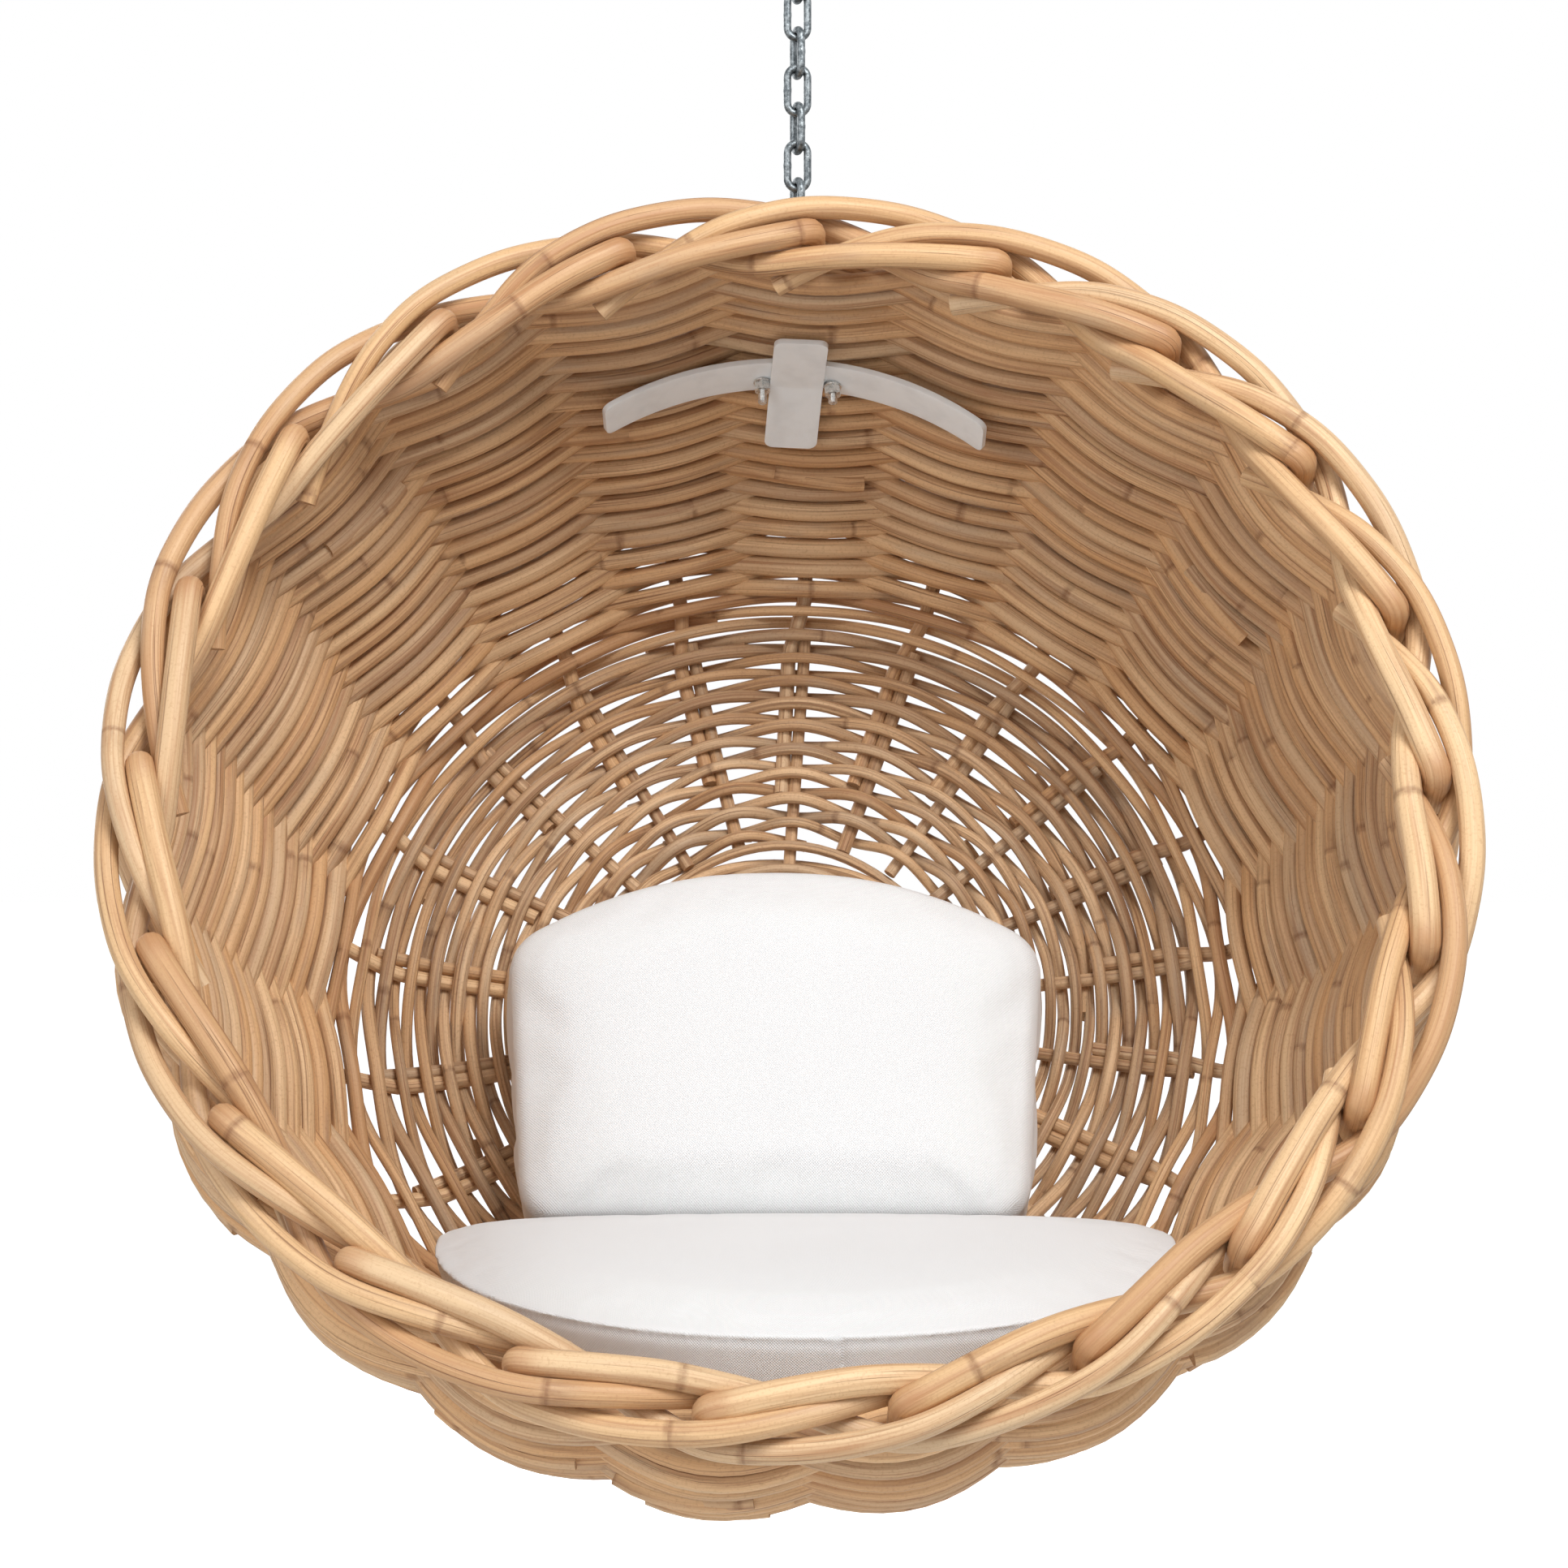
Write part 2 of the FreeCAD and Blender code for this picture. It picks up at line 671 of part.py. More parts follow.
doc.recompute()
for piece in doc.Objects:
    faults = [state for state in piece.State if state in ("Invalid", "Error")]
    if faults:
        raise RuntimeError(f"{piece.Label} did not compute: {faults}")
os.makedirs("parts", exist_ok=True)
for node in NODES:
    shape = doc.getObjectsByLabel(node)[0].Shape
    if shape.isNull() or not shape.isValid():
        raise RuntimeError(f"{node} has no valid shape")
    shape.exportStep(f"parts/{node}.step")
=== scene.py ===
import json
import math
import random

import bmesh
import bpy
import numpy as np
from mathutils import Matrix, Vector, noise
from mathutils.kdtree import KDTree


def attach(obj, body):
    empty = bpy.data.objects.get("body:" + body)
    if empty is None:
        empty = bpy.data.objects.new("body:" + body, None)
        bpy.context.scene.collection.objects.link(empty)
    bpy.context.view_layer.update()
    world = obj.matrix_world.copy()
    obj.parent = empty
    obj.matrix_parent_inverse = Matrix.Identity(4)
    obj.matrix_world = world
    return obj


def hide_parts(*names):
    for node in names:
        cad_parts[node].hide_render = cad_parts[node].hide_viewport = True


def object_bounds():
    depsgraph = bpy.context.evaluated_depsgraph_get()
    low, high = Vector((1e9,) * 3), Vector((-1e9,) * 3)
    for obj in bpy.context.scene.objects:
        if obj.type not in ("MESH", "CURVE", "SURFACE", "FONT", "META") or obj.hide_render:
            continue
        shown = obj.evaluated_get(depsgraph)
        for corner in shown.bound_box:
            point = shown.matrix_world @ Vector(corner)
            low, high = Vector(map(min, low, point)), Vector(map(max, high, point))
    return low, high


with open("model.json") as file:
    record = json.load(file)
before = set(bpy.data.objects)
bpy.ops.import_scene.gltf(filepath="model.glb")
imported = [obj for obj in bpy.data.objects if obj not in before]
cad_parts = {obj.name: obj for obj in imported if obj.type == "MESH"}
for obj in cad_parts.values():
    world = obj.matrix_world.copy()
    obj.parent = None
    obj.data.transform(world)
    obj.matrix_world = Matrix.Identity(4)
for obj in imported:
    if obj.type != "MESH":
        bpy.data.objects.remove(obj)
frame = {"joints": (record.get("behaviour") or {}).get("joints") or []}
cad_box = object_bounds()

# Basket sticks: 21 straight rattan sticks spread from the middle of the base like spokes. Seven run from the
# centre, and the fourteen between them are pushed in once the base is wide enough. Everything in the basket
# is laid on one profile, from the centre of the base round the corner and up to the rim.
STAKES = 21
OPENING_TILT = math.radians(25)
BASKET_DEPTH = 0.505
BASE_RADIUS = 0.395
BASE_DOME = 0.053
BELLY_RADIUS = 0.517
RIM_RADIUS = 0.502
HANG_OFFSET = 0.012
HANG_DEPTH = 0.205
BOLT_TOP = 0.545
BOLT_SPACING = 0.062
bow_joint = next(j for j in frame["joints"] if j["name"] == "bow_in_last_link")
bow = Vector(bow_joint["pos_m"])
turn = Matrix.Rotation(math.pi / 2 - OPENING_TILT, 3, "X")
rim_centre = bow - turn @ Vector((HANG_OFFSET, BOLT_TOP + BOLT_SPACING / 2, -HANG_DEPTH))


def placed(points):
    """Points of the basket's own frame: right, up in the rim's plane and out of the opening."""
    return np.asarray(points) @ np.array(turn).T + np.array(rim_centre)


def run_along(points):
    """The length of a path up to each of its points."""
    return np.concatenate([[0], np.cumsum(np.linalg.norm(np.diff(points, axis=0), axis=1))])


def smooth_line(points, count):
    """A natural cubic spline through the points, sampled evenly along its length."""
    points = np.asarray(points, float)
    at = run_along(points)
    gap = np.diff(at)[:, None]
    slope = np.diff(points, axis=0) / gap
    system = np.eye(len(points))
    known = np.zeros_like(points)
    for n in range(1, len(points) - 1):
        system[n, n - 1 : n + 2] = gap[n - 1, 0], 2 * (gap[n - 1, 0] + gap[n, 0]), gap[n, 0]
        known[n] = 6 * (slope[n] - slope[n - 1])
    bend = np.linalg.solve(system, known)
    fine = np.linspace(0, at[-1], 12 * count)
    part = np.clip(np.searchsorted(at, fine, side="right") - 1, 0, len(gap) - 1)
    before = (fine - at[part])[:, None]
    after = (at[part + 1] - fine)[:, None]
    width = gap[part]
    line = (
        (bend[part] * after**3 + bend[part + 1] * before**3) / (6 * width)
        + (points[part] / width - bend[part] * width / 6) * after
        + (points[part + 1] / width - bend[part + 1] * width / 6) * before
    )
    run = run_along(line)
    wanted = np.linspace(0, run[-1], count)
    return np.stack([np.interp(wanted, run, line[:, n]) for n in range(line.shape[1])], axis=1)


base_edge = BASKET_DEPTH - BASE_DOME
profile = smooth_line(
    [
        (0, BASKET_DEPTH),
        (0.6 * BASE_RADIUS, base_edge + 0.65 * BASE_DOME),
        (BASE_RADIUS, base_edge),
        (0.885 * BELLY_RADIUS, 0.75 * BASKET_DEPTH),
        (0.95 * BELLY_RADIUS, 0.555 * BASKET_DEPTH),
        (0.99 * BELLY_RADIUS, 0.36 * BASKET_DEPTH),
        (BELLY_RADIUS, 0.2 * BASKET_DEPTH),
        (RIM_RADIUS, 0.03 * BASKET_DEPTH),
    ],
    600,
)
steps_along = run_along(profile)
heading = np.gradient(profile, steps_along, axis=0)


def distance_at_radius(radius):
    return float(steps_along[np.argmax(profile[:, 0] >= radius)])


def distance_at_depth(depth):
    return float(steps_along[len(profile) - np.argmax(profile[::-1, 1] >= depth) - 1])


BASE_SPREAD = tuple(math.radians(a) for a in (89.7, 3.2, 130))
RIM_SPREAD = tuple(math.radians(a) for a in (89.5, 4.5, 30))
LEAN_FROM = 0.72


def spread(step, first, drift, side):
    """Angles of the stakes, counted from the first. They stand closer on one side than on the other."""
    angle = np.asarray(step) * 2 * math.pi / STAKES + first
    return angle - drift * np.cos(angle - side)


def stake_angle(step, distance=0.0):
    """The angle of a stake round the basket. The spacing drifts a little, as it does in handwork, and near
    the rim the stakes lean over to where their ends turn down."""
    low = spread(step, *BASE_SPREAD)
    high = spread(step, *RIM_SPREAD)
    lean_start = LEAN_FROM * steps_along[-1]
    share = np.clip((np.asarray(distance) - lean_start) / (steps_along[-1] - lean_start), 0, 1)
    return low + (high - low) * share**2 * (3 - 2 * share)


def on_basket(angle, distance, off):
    """Points off the profile by off, positive into the basket, at angles and distances along it."""
    radius = np.interp(distance, steps_along, profile[:, 0])
    depth = np.interp(distance, steps_along, profile[:, 1])
    out = np.interp(distance, steps_along, heading[:, 0])
    down = np.interp(distance, steps_along, heading[:, 1])
    radius = radius + off * down
    depth = depth - off * out
    return placed(np.stack([radius * np.cos(angle), radius * np.sin(angle), -depth], axis=-1))


NODE_GAP = (0.22, 0.5)


class Bundle:
    """Canes gathered as one mesh. Each has its grain's direction as a UV map, with a node at every whole
    number along it, and a tint of its own."""

    def __init__(self, seed):
        self.chance = random.Random(seed)
        self.points = []
        self.faces = []
        self.cut = []
        self.grain = []
        self.tints = []
        self.bruises = []

    def lay(self, path, radius, sides, bruised=0.0):
        """Adds a cane along the path. Its radius, and how far bending bruised it, may vary along it."""
        path = np.asarray(path, float)
        count = len(path)
        radius = np.broadcast_to(np.asarray(radius, float), (count,))
        ahead = np.gradient(path, axis=0)
        ahead /= np.linalg.norm(ahead, axis=1)[:, None]
        side = np.cross(ahead[0], (0.31, 0.52, 0.79))
        rings = []
        turns = 2 * math.pi * np.arange(sides) / sides
        for n in range(count):
            side = side - ahead[n] * (side @ ahead[n])
            side /= np.linalg.norm(side)
            across = np.cross(ahead[n], side)
            circle = np.outer(np.cos(turns), side) + np.outer(np.sin(turns), across)
            rings.append(path[n] + radius[n] * circle)
        length = run_along(path)
        joints = [-self.chance.uniform(0.0, 0.3)]
        while joints[-1] < length[-1]:
            joints.append(joints[-1] + self.chance.uniform(*NODE_GAP))
        shade = self.chance.random()
        at = np.interp(length, joints, np.arange(len(joints))) + int(shade * 997)
        first = len(self.points)
        self.points.extend(np.concatenate(rings).tolist())
        self.tints.extend([shade] * (count * sides))
        self.bruises.extend(np.repeat(np.broadcast_to(bruised, (count,)), sides).tolist())
        for n in range(count - 1):
            for m in range(sides):
                low = first + n * sides + m
                low_next = first + n * sides + (m + 1) % sides
                self.faces.append((low, low_next, low_next + sides, low + sides))
                edge, edge_next = m / sides, (m + 1) / sides
                self.grain.extend(
                    [(edge, at[n]), (edge_next, at[n]), (edge_next, at[n + 1]), (edge, at[n + 1])]
                )
                self.cut.append(0)
        for n, order in ((0, -1), (count - 1, 1)):
            ring = [first + n * sides + m for m in range(sides)][::order]
            self.faces.append(tuple(ring))
            self.grain.extend([(0.5 + 0.5 * math.cos(a), at[n] + 0.02 * math.sin(a)) for a in turns])
            self.cut.append(1)

    def piece(self, name, finish, end_finish, node, slot):
        """The finished piece, in place of one CAD node of the basket."""
        mesh = bpy.data.meshes.new(name)
        mesh.from_pydata(self.points, [], self.faces)
        mesh.uv_layers.new(name="grain").data.foreach_set("uv", np.array(self.grain, np.float32).ravel())
        for label, values in (("tint", self.tints), ("bruised", self.bruises)):
            layer = mesh.attributes.new(label, "FLOAT", "POINT")
            layer.data.foreach_set("value", np.array(values, np.float32))
        mesh.materials.append(finish)
        mesh.materials.append(end_finish)
        mesh.polygons.foreach_set("material_index", self.cut)
        mesh.update()
        piece = bpy.data.objects.new(name, mesh)
        bpy.context.scene.collection.objects.link(piece)
        smoothed(piece, 60)
        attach(piece, "basket")
        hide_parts(node)


def chosen(piece):
    """Makes the piece the only one that the next operator works on."""
    bpy.ops.object.select_all(action="DESELECT")
    piece.select_set(True)
    bpy.context.view_layer.objects.active = piece


def smoothed(piece, degrees):
    """Smooth shading over every edge that is flatter than the angle."""
    chosen(piece)
    bpy.ops.object.shade_smooth_by_angle(angle=math.radians(degrees))
    piece.select_set(False)


class Amount:
    """A number that varies over a surface. Arithmetic on it adds the nodes that work it out."""

    def __init__(self, finish, socket):
        self.finish = finish
        self.socket = socket

    def worked(self, operation, *numbers):
        node = self.finish.node("ShaderNodeMath", {"operation": operation}, numbers)
        return Amount(self.finish, node.outputs[0])

    def __add__(self, other):
        return self.worked("ADD", self, other)

    def __sub__(self, other):
        return self.worked("SUBTRACT", self, other)

    def __rsub__(self, other):
        return self.worked("SUBTRACT", other, self)

    def __mul__(self, other):
        return self.worked("MULTIPLY", self, other)

    __radd__ = __add__
    __rmul__ = __mul__

    def smooth(self, low, high):
        """0 below low, 1 above high and a soft step between them."""
        node = self.finish.node(
            "ShaderNodeMapRange",
            {"interpolation_type": "SMOOTHSTEP"},
            {"Value": self, "From Min": low, "From Max": high},
        )
        return Amount(self.finish, node.outputs[0])


class Finish:
    """A surface as it is mixed. One method adds any node, sets it up and joins its sockets."""

    def __init__(self, material):
        self.material = material
        self.material.use_nodes = True
        self.tree = self.material.node_tree
        self.shader = self.tree.nodes.get("Principled BSDF")

    def node(self, kind, settings=None, inputs=()):
        made = self.tree.nodes.new(kind)
        for key, value in (settings or {}).items():
            setattr(made, key, value)
        pairs = inputs.items() if isinstance(inputs, dict) else enumerate(inputs)
        for key, value in pairs:
            self.feed(made.inputs[key], value)
        return made

    def feed(self, socket, value):
        if isinstance(value, Amount):
            value = value.socket
        if isinstance(value, bpy.types.NodeSocket):
            self.tree.links.new(value, socket)
        else:
            socket.default_value = value

    def noise(self, vector, scale, detail=2.0, roughness=0.5):
        node = self.node(
            "ShaderNodeTexNoise",
            {"noise_dimensions": "3D"},
            {"Vector": vector, "Scale": scale, "Detail": detail, "Roughness": roughness},
        )
        return Amount(self, node.outputs[0])

    def mixed(self, share, one, other):
        """The colour that goes from one to other as share goes from 0 to 1."""
        node = self.node("ShaderNodeMix", {"data_type": "RGBA"}, {0: share, 6: one, 7: other})
        return node.outputs[2]

    def attribute(self, name):
        """A number kept at the points of the mesh."""
        return Amount(self, self.node("ShaderNodeAttribute", {"attribute_name": name}).outputs["Fac"])

    def object_place(self):
        return self.node("ShaderNodeTexCoord").outputs["Object"]

    def finished(self, colour, roughness, height, depth):
        self.feed(self.shader.inputs["Base Color"], colour)
        self.feed(self.shader.inputs["Roughness"], roughness)
        bump = self.node("ShaderNodeBump", {}, {"Strength": 1.0, "Distance": depth, "Height": height})
        self.feed(self.shader.inputs["Normal"], bump.outputs[0])
        return self.material


def cane_finish(name, pale, honey, brown, grey, ring_colour, gloss, greyness):
    """Peeled rattan: fine fibres along the cane, blotches of brown and grey, and a dark ring at each node."""
    made = Finish(bpy.data.materials.new(name))
    grain = made.node("ShaderNodeUVMap", {"uv_map": "grain"})
    split = made.node("ShaderNodeSeparateXYZ", {}, [grain.outputs[0]])
    around = Amount(made, split.outputs[0]) * (2 * math.pi)
    along = Amount(made, split.outputs[1])
    tint = made.attribute("tint")
    bruised = made.attribute("bruised")
    cosine = around.worked("COSINE", around)
    sine = around.worked("SINE", around)

    def wrapped(turns, stretch, shift):
        """A place that closes round the cane, turns wide and stretched along it."""
        return made.node(
            "ShaderNodeCombineXYZ", {}, [cosine * turns, sine * turns, along * stretch + tint * shift]
        ).outputs[0]

    fibres = made.noise(wrapped(5.0, 2.6, 31.0), 1.0, 3.0, 0.65)
    streaks = made.noise(wrapped(1.5, 1.4, 57.0), 1.0, 3.0, 0.6)
    blotches = made.noise(wrapped(0.5, 3.1, 83.0), 1.0, 2.0, 0.5)
    marks = made.noise(wrapped(2.4, 9.0, 19.0), 1.0, 2.0, 0.5)
    beyond = along - along.worked("FLOOR", along)
    short_of = 1 - beyond
    nearest = beyond.worked("MINIMUM", beyond, short_of)
    ring = (1 - (nearest + (marks - 0.5) * 0.012).smooth(0.002, 0.014)) * blotches.smooth(0.3, 0.5)
    scar = (1 - beyond.smooth(0.0, 0.11)) * marks.smooth(0.38, 0.62)
    many = tint * 13.7
    odd = many - many.worked("FLOOR", many)
    colour = made.mixed(tint.smooth(0.0, 1.0), (*honey, 1), (*pale, 1))
    colour = made.mixed(odd.smooth(0.72, 0.95) * 0.45, colour, (*brown, 1))
    colour = made.mixed((1 - odd.smooth(0.1, 0.3)) * 0.4, colour, (*grey, 1))
    colour = made.mixed(streaks.smooth(0.42, 0.72) * 0.75, colour, (*brown, 1))
    colour = made.mixed(blotches.smooth(0.5, 0.72) * greyness, colour, (*grey, 1))
    colour = made.mixed(fibres.smooth(0.48, 0.72) * 0.5, colour, (*brown, 1))
    colour = made.mixed((1 - fibres.smooth(0.25, 0.46)) * 0.35, colour, (*pale, 1))
    cracks = made.noise(wrapped(8.0, 1.3, 71.0), 1.0, 2.0, 0.5).smooth(0.62, 0.7) * streaks.smooth(0.35, 0.6)
    colour = made.mixed(cracks * 0.65, colour, (*ring_colour, 1))
    grit = made.noise(made.object_place(), 420.0, 2.0, 0.6)
    colour = made.mixed(grit.smooth(0.5, 0.75) * 0.3, colour, (*brown, 1))
    colour = made.mixed(bruised * (0.25 + marks * 0.9), colour, (*brown, 1))
    stain = scar * 0.35 + ring * 0.42
    colour = made.mixed(stain.worked("MINIMUM", stain, 0.6), colour, (*ring_colour, 1))
    height = fibres * 0.6 + streaks * 0.6 + (1 - nearest.smooth(0.0, 0.03)) * 0.7 - ring * 0.5 - cracks * 0.5
    height = height + bruised * marks * 1.5
    return made.finished(colour, gloss + fibres * 0.25 + ring * 0.15, height, 0.0009)


def cut_finish(name, pith, pore):
    """The sawn end of a cane: pale pith with dark pores."""
    made = Finish(bpy.data.materials.new(name))
    place = made.object_place()
    pores = made.noise(place, 900.0, 1.0)
    colour = made.mixed(pores.smooth(0.5, 0.65) * 0.7, (*pith, 1), (*pore, 1))
    return made.finished(colour, 0.8 + pores * 0.1, pores * -1.0, 0.0004)


base_cane = cane_finish(
    "base_rattan",
    pale=(0.74, 0.50, 0.29), honey=(0.60, 0.36, 0.18), brown=(0.27, 0.12, 0.05),
    grey=(0.42, 0.31, 0.21), ring_colour=(0.13, 0.045, 0.018), gloss=0.5, greyness=0.55,
)
end_grain = cut_finish("cane_end", pith=(0.50, 0.30, 0.15), pore=(0.20, 0.09, 0.04))
STICK_RADIUS = 0.0062
STICK_SWING = 0.004
MAIN_START = 0.017
BYE_START = 0.166
stick_end = distance_at_radius(0.93 * BASE_RADIUS)
sticks = Bundle(1)
for k in range(STAKES):
    start = MAIN_START if k % 3 == 0 else BYE_START
    places = np.linspace(start, stick_end, 14)
    swing = np.array([STICK_SWING * noise.noise(Vector((4 * d, k * 3.7, 0))) for d in places])
    path = on_basket(stake_angle(k) + swing / np.maximum(places, 0.05), places, 0.0)
    sticks.lay(path, STICK_RADIUS * sticks.chance.uniform(0.92, 1.1), 10)
sticks.piece("round_base_sticks", base_cane, end_grain, "base_sticks", "base_cane")

# Side stakes: stiff rods pushed in beside the base sticks, bent up round the corner and woven in all the way
# to the rim. They carry the basket's whole wall.
STAKE_RADIUS = 0.0068
wall_cane = cane_finish(
    "wall_rattan",
    pale=(0.80, 0.54, 0.30), honey=(0.68, 0.40, 0.19), brown=(0.36, 0.16, 0.065),
    grey=(0.50, 0.37, 0.25), ring_colour=(0.17, 0.06, 0.022), gloss=0.48, greyness=0.45,
)
STAKE_OVERLAP = (0.09, 0.16)
STAKE_BESIDE = 0.0125
BESIDE_FADE = 0.05
RIM_JOIN = 0.027
stake_end = distance_at_depth(RIM_JOIN)
stakes = Bundle(2)
for k in range(STAKES):
    start = stick_end - stakes.chance.uniform(*STAKE_OVERLAP)
    places = np.linspace(start, stake_end, 56)
    beside = STAKE_BESIDE * np.clip((stick_end + 0.03 - places) / BESIDE_FADE, 0, 1)
    path = on_basket(stake_angle(k, places) + beside / places, places, 0.0)
    stakes.lay(path, STAKE_RADIUS * stakes.chance.uniform(0.95, 1.05), 10)
stakes.piece("bent_side_stakes", wall_cane, end_grain, "side_stakes", "wall_cane")


# Woven canes: long canes that pass in front of one stick or stake and behind the next. Each turn round the
# basket lies beside the last with its bends the other way, because the number of stakes is odd. A new cane is
# laid in beside the end of the last one, and both ends are cut off inside or outside the basket.
LONGEST_CANE = 34
SHORTEST_CANE = 6
ROW_WANDER = 0.0015
ROW_DRIFT = 0.35
END_DIP = 0.7
END_STAND = 0.5
CANE_STEP = 0.1
LAP = 0.3


def woven(bundle, first, last, start, pitch, radius, stand, stride, sides):
    """Lays canes from step first to step last, a pitch further from the centre with each turn."""
    count = STAKES // stride
    chance = bundle.chance
    begin = first
    while begin < last - 0.5:
        end = begin + 2 * round(chance.uniform(0.5, 1.0) * LONGEST_CANE / 2) + (begin % 2)
        if last - end < SHORTEST_CANE:
            end = last
        lead = chance.uniform(0.2, 0.5)
        trail = chance.uniform(0.2, 0.5)
        steps = np.arange(begin - lead, end + trail, CANE_STEP)
        distance = start + pitch * (steps - first) / count
        own = chance.uniform(-1, 1) * 50
        wander = np.array([noise.noise(Vector((0.45 * s, own, 0))) for s in steps]) * ROW_WANDER
        entering = np.clip((begin + LAP - steps) / (2 * LAP), 0, 1) ** 2
        leaving = np.clip((steps - end + LAP) / (2 * LAP), 0, 1) ** 2
        angles = stake_angle(steps * stride, distance)
        drift = np.array(
            [
                noise.noise(Vector((1.1 * math.cos(a), 1.1 * math.sin(a), 9 * d)))
                for a, d in zip(angles, distance)
            ]
        )
        distance = distance + wander + ROW_DRIFT * pitch * drift + radius * END_DIP * (leaving - entering)
        wave = -np.cos(math.pi * steps)
        off = stand * wave + radius * END_STAND * (entering + leaving) * np.sign(wave)
        thickness = radius * chance.uniform(0.88, 1.12)
        taper = np.linspace(1.06, 0.92, len(steps))
        bundle.lay(on_basket(angles, distance, off), thickness * taper, sides)
        begin = end


INNER_FIRST = 0.058
INNER_LAST = 0.165
INNER_RADIUS = 0.0050
INNER_STAND = 0.0115
BASE_FIRST = 0.173
BASE_PITCH = 0.0116
BASE_CANE_RADIUS = 0.0057
BASE_STAND = 0.0122
EDGE_CANE_RADIUS = 0.0060
EDGE_STAND = 0.0128
ROW_CLEARANCE = 0.006
base_last = stick_end + ROW_CLEARANCE
inner = Bundle(3)
inner_steps = int((INNER_LAST - INNER_FIRST) / BASE_PITCH * 7)
woven(inner, 0, inner_steps, INNER_FIRST, BASE_PITCH, INNER_RADIUS, INNER_STAND, 3, 8)
inner.piece("woven_base_middle", base_cane, end_grain, "base_weave_inner", "base_cane")
base_steps = int((base_last - BASE_FIRST) / BASE_PITCH * STAKES)
half_way = base_steps // 2
for name, node, first, last, seed in (
    ("woven_base_ring", "base_weave_middle", 0, half_way, 4),
    ("woven_base_edge", "base_weave_outer", half_way, base_steps, 5),
):
    band = Bundle(seed)
    band_start = BASE_FIRST + BASE_PITCH * first / STAKES
    woven(band, first, last, band_start, BASE_PITCH, BASE_CANE_RADIUS, BASE_STAND, 1, 9)
    band.piece(name, base_cane, end_grain, node, "base_cane")

reached = BASE_FIRST + BASE_PITCH * base_steps / STAKES + 0.001
corner_end = distance_at_radius(0.92 * BELLY_RADIUS)
wall_last = stake_end - ROW_CLEARANCE
edge_end = distance_at_radius(1.03 * BASE_RADIUS)
edge_steps = int((edge_end - reached) / BASE_PITCH * STAKES)
corner = Bundle(6)
woven(corner, base_steps, base_steps + edge_steps, reached, BASE_PITCH, EDGE_CANE_RADIUS, EDGE_STAND, 1, 9)
reached += BASE_PITCH * edge_steps / STAKES
wall_step = base_steps + edge_steps
for name, share, pitch, thickness, stand in (
    ("corner", 0.0, 0.0107, 0.0087, 0.0155),
    ("wall_1", 0.25, 0.0112, 0.0088, 0.0159),
    ("wall_2", 0.5, 0.0122, 0.0088, 0.0163),
    ("wall_3", 0.75, 0.0140, 0.0093, 0.0168),
    ("wall_4", 1.0, 0.0160, 0.0097, 0.0172),
):
    upper = corner_end + share * (wall_last - corner_end)
    steps_here = int((upper - reached) / pitch * STAKES)
    band = corner if name == "corner" else Bundle(wall_step)
    woven(band, wall_step, wall_step + steps_here, reached, pitch, thickness, stand, 1, 10)
    band.piece(f"woven_{name}", wall_cane, end_grain, f"weave_{name}", "wall_cane")
    reached += pitch * steps_here / STAKES
    wall_step += steps_here

# Plaited border: the end of every stake is soaked, folded over sharply and laid along the inner edge. It goes
# down behind the next two canes, up the outer edge and back over the front, and is cut off inside the basket.
BORDER_RADIUS = 0.0118
BORDER_ROUTE = (
    (0.0, 0.000, -0.035),
    (0.0, -0.002, 0.014),
    (0.35, -0.017, 0.020),
    (0.75, -0.027, 0.017),
    (1.05, -0.027, 0.007),
    (1.35, -0.022, -0.011),
    (1.98, 0.023, -0.014),
    (2.55, 0.029, 0.005),
    (3.05, 0.022, 0.017),
    (3.48, 0.003, 0.018),
    (3.85, -0.016, -0.003),
    (4.2, -0.033, -0.023),
)
PATH_STEP = 0.0035
BORDER_WIDTH = (0.92, 0.08)
LOW_SHIFT = 0.0053
RIGHT_SHIFT = 0.003
BORDER_SWAY = 0.002
FOLD_SOFTNESS = 0.006
RUN_SOFTNESS = 0.02
FOLD_REACH = 0.03
BRUISE_OFFSET = 0.004
BRUISE_REACH = 0.014
TAIL_TAPER = 0.24


def eased(path, softness):
    """The path with its corners eased over about that length, and its ends kept."""
    reach = int(3 * softness / PATH_STEP)
    weight = np.exp(-0.5 * (np.arange(-reach, reach + 1) * PATH_STEP / softness) ** 2)
    before = path[0] - (path[1] - path[0]) * np.arange(reach, 0, -1)[:, None]
    after = path[-1] + (path[-1] - path[-2]) * np.arange(1, reach + 1)[:, None]
    longer = np.concatenate([before, path, after])
    return np.stack([np.convolve(longer[:, n], weight / weight.sum(), "valid") for n in range(3)], axis=1)


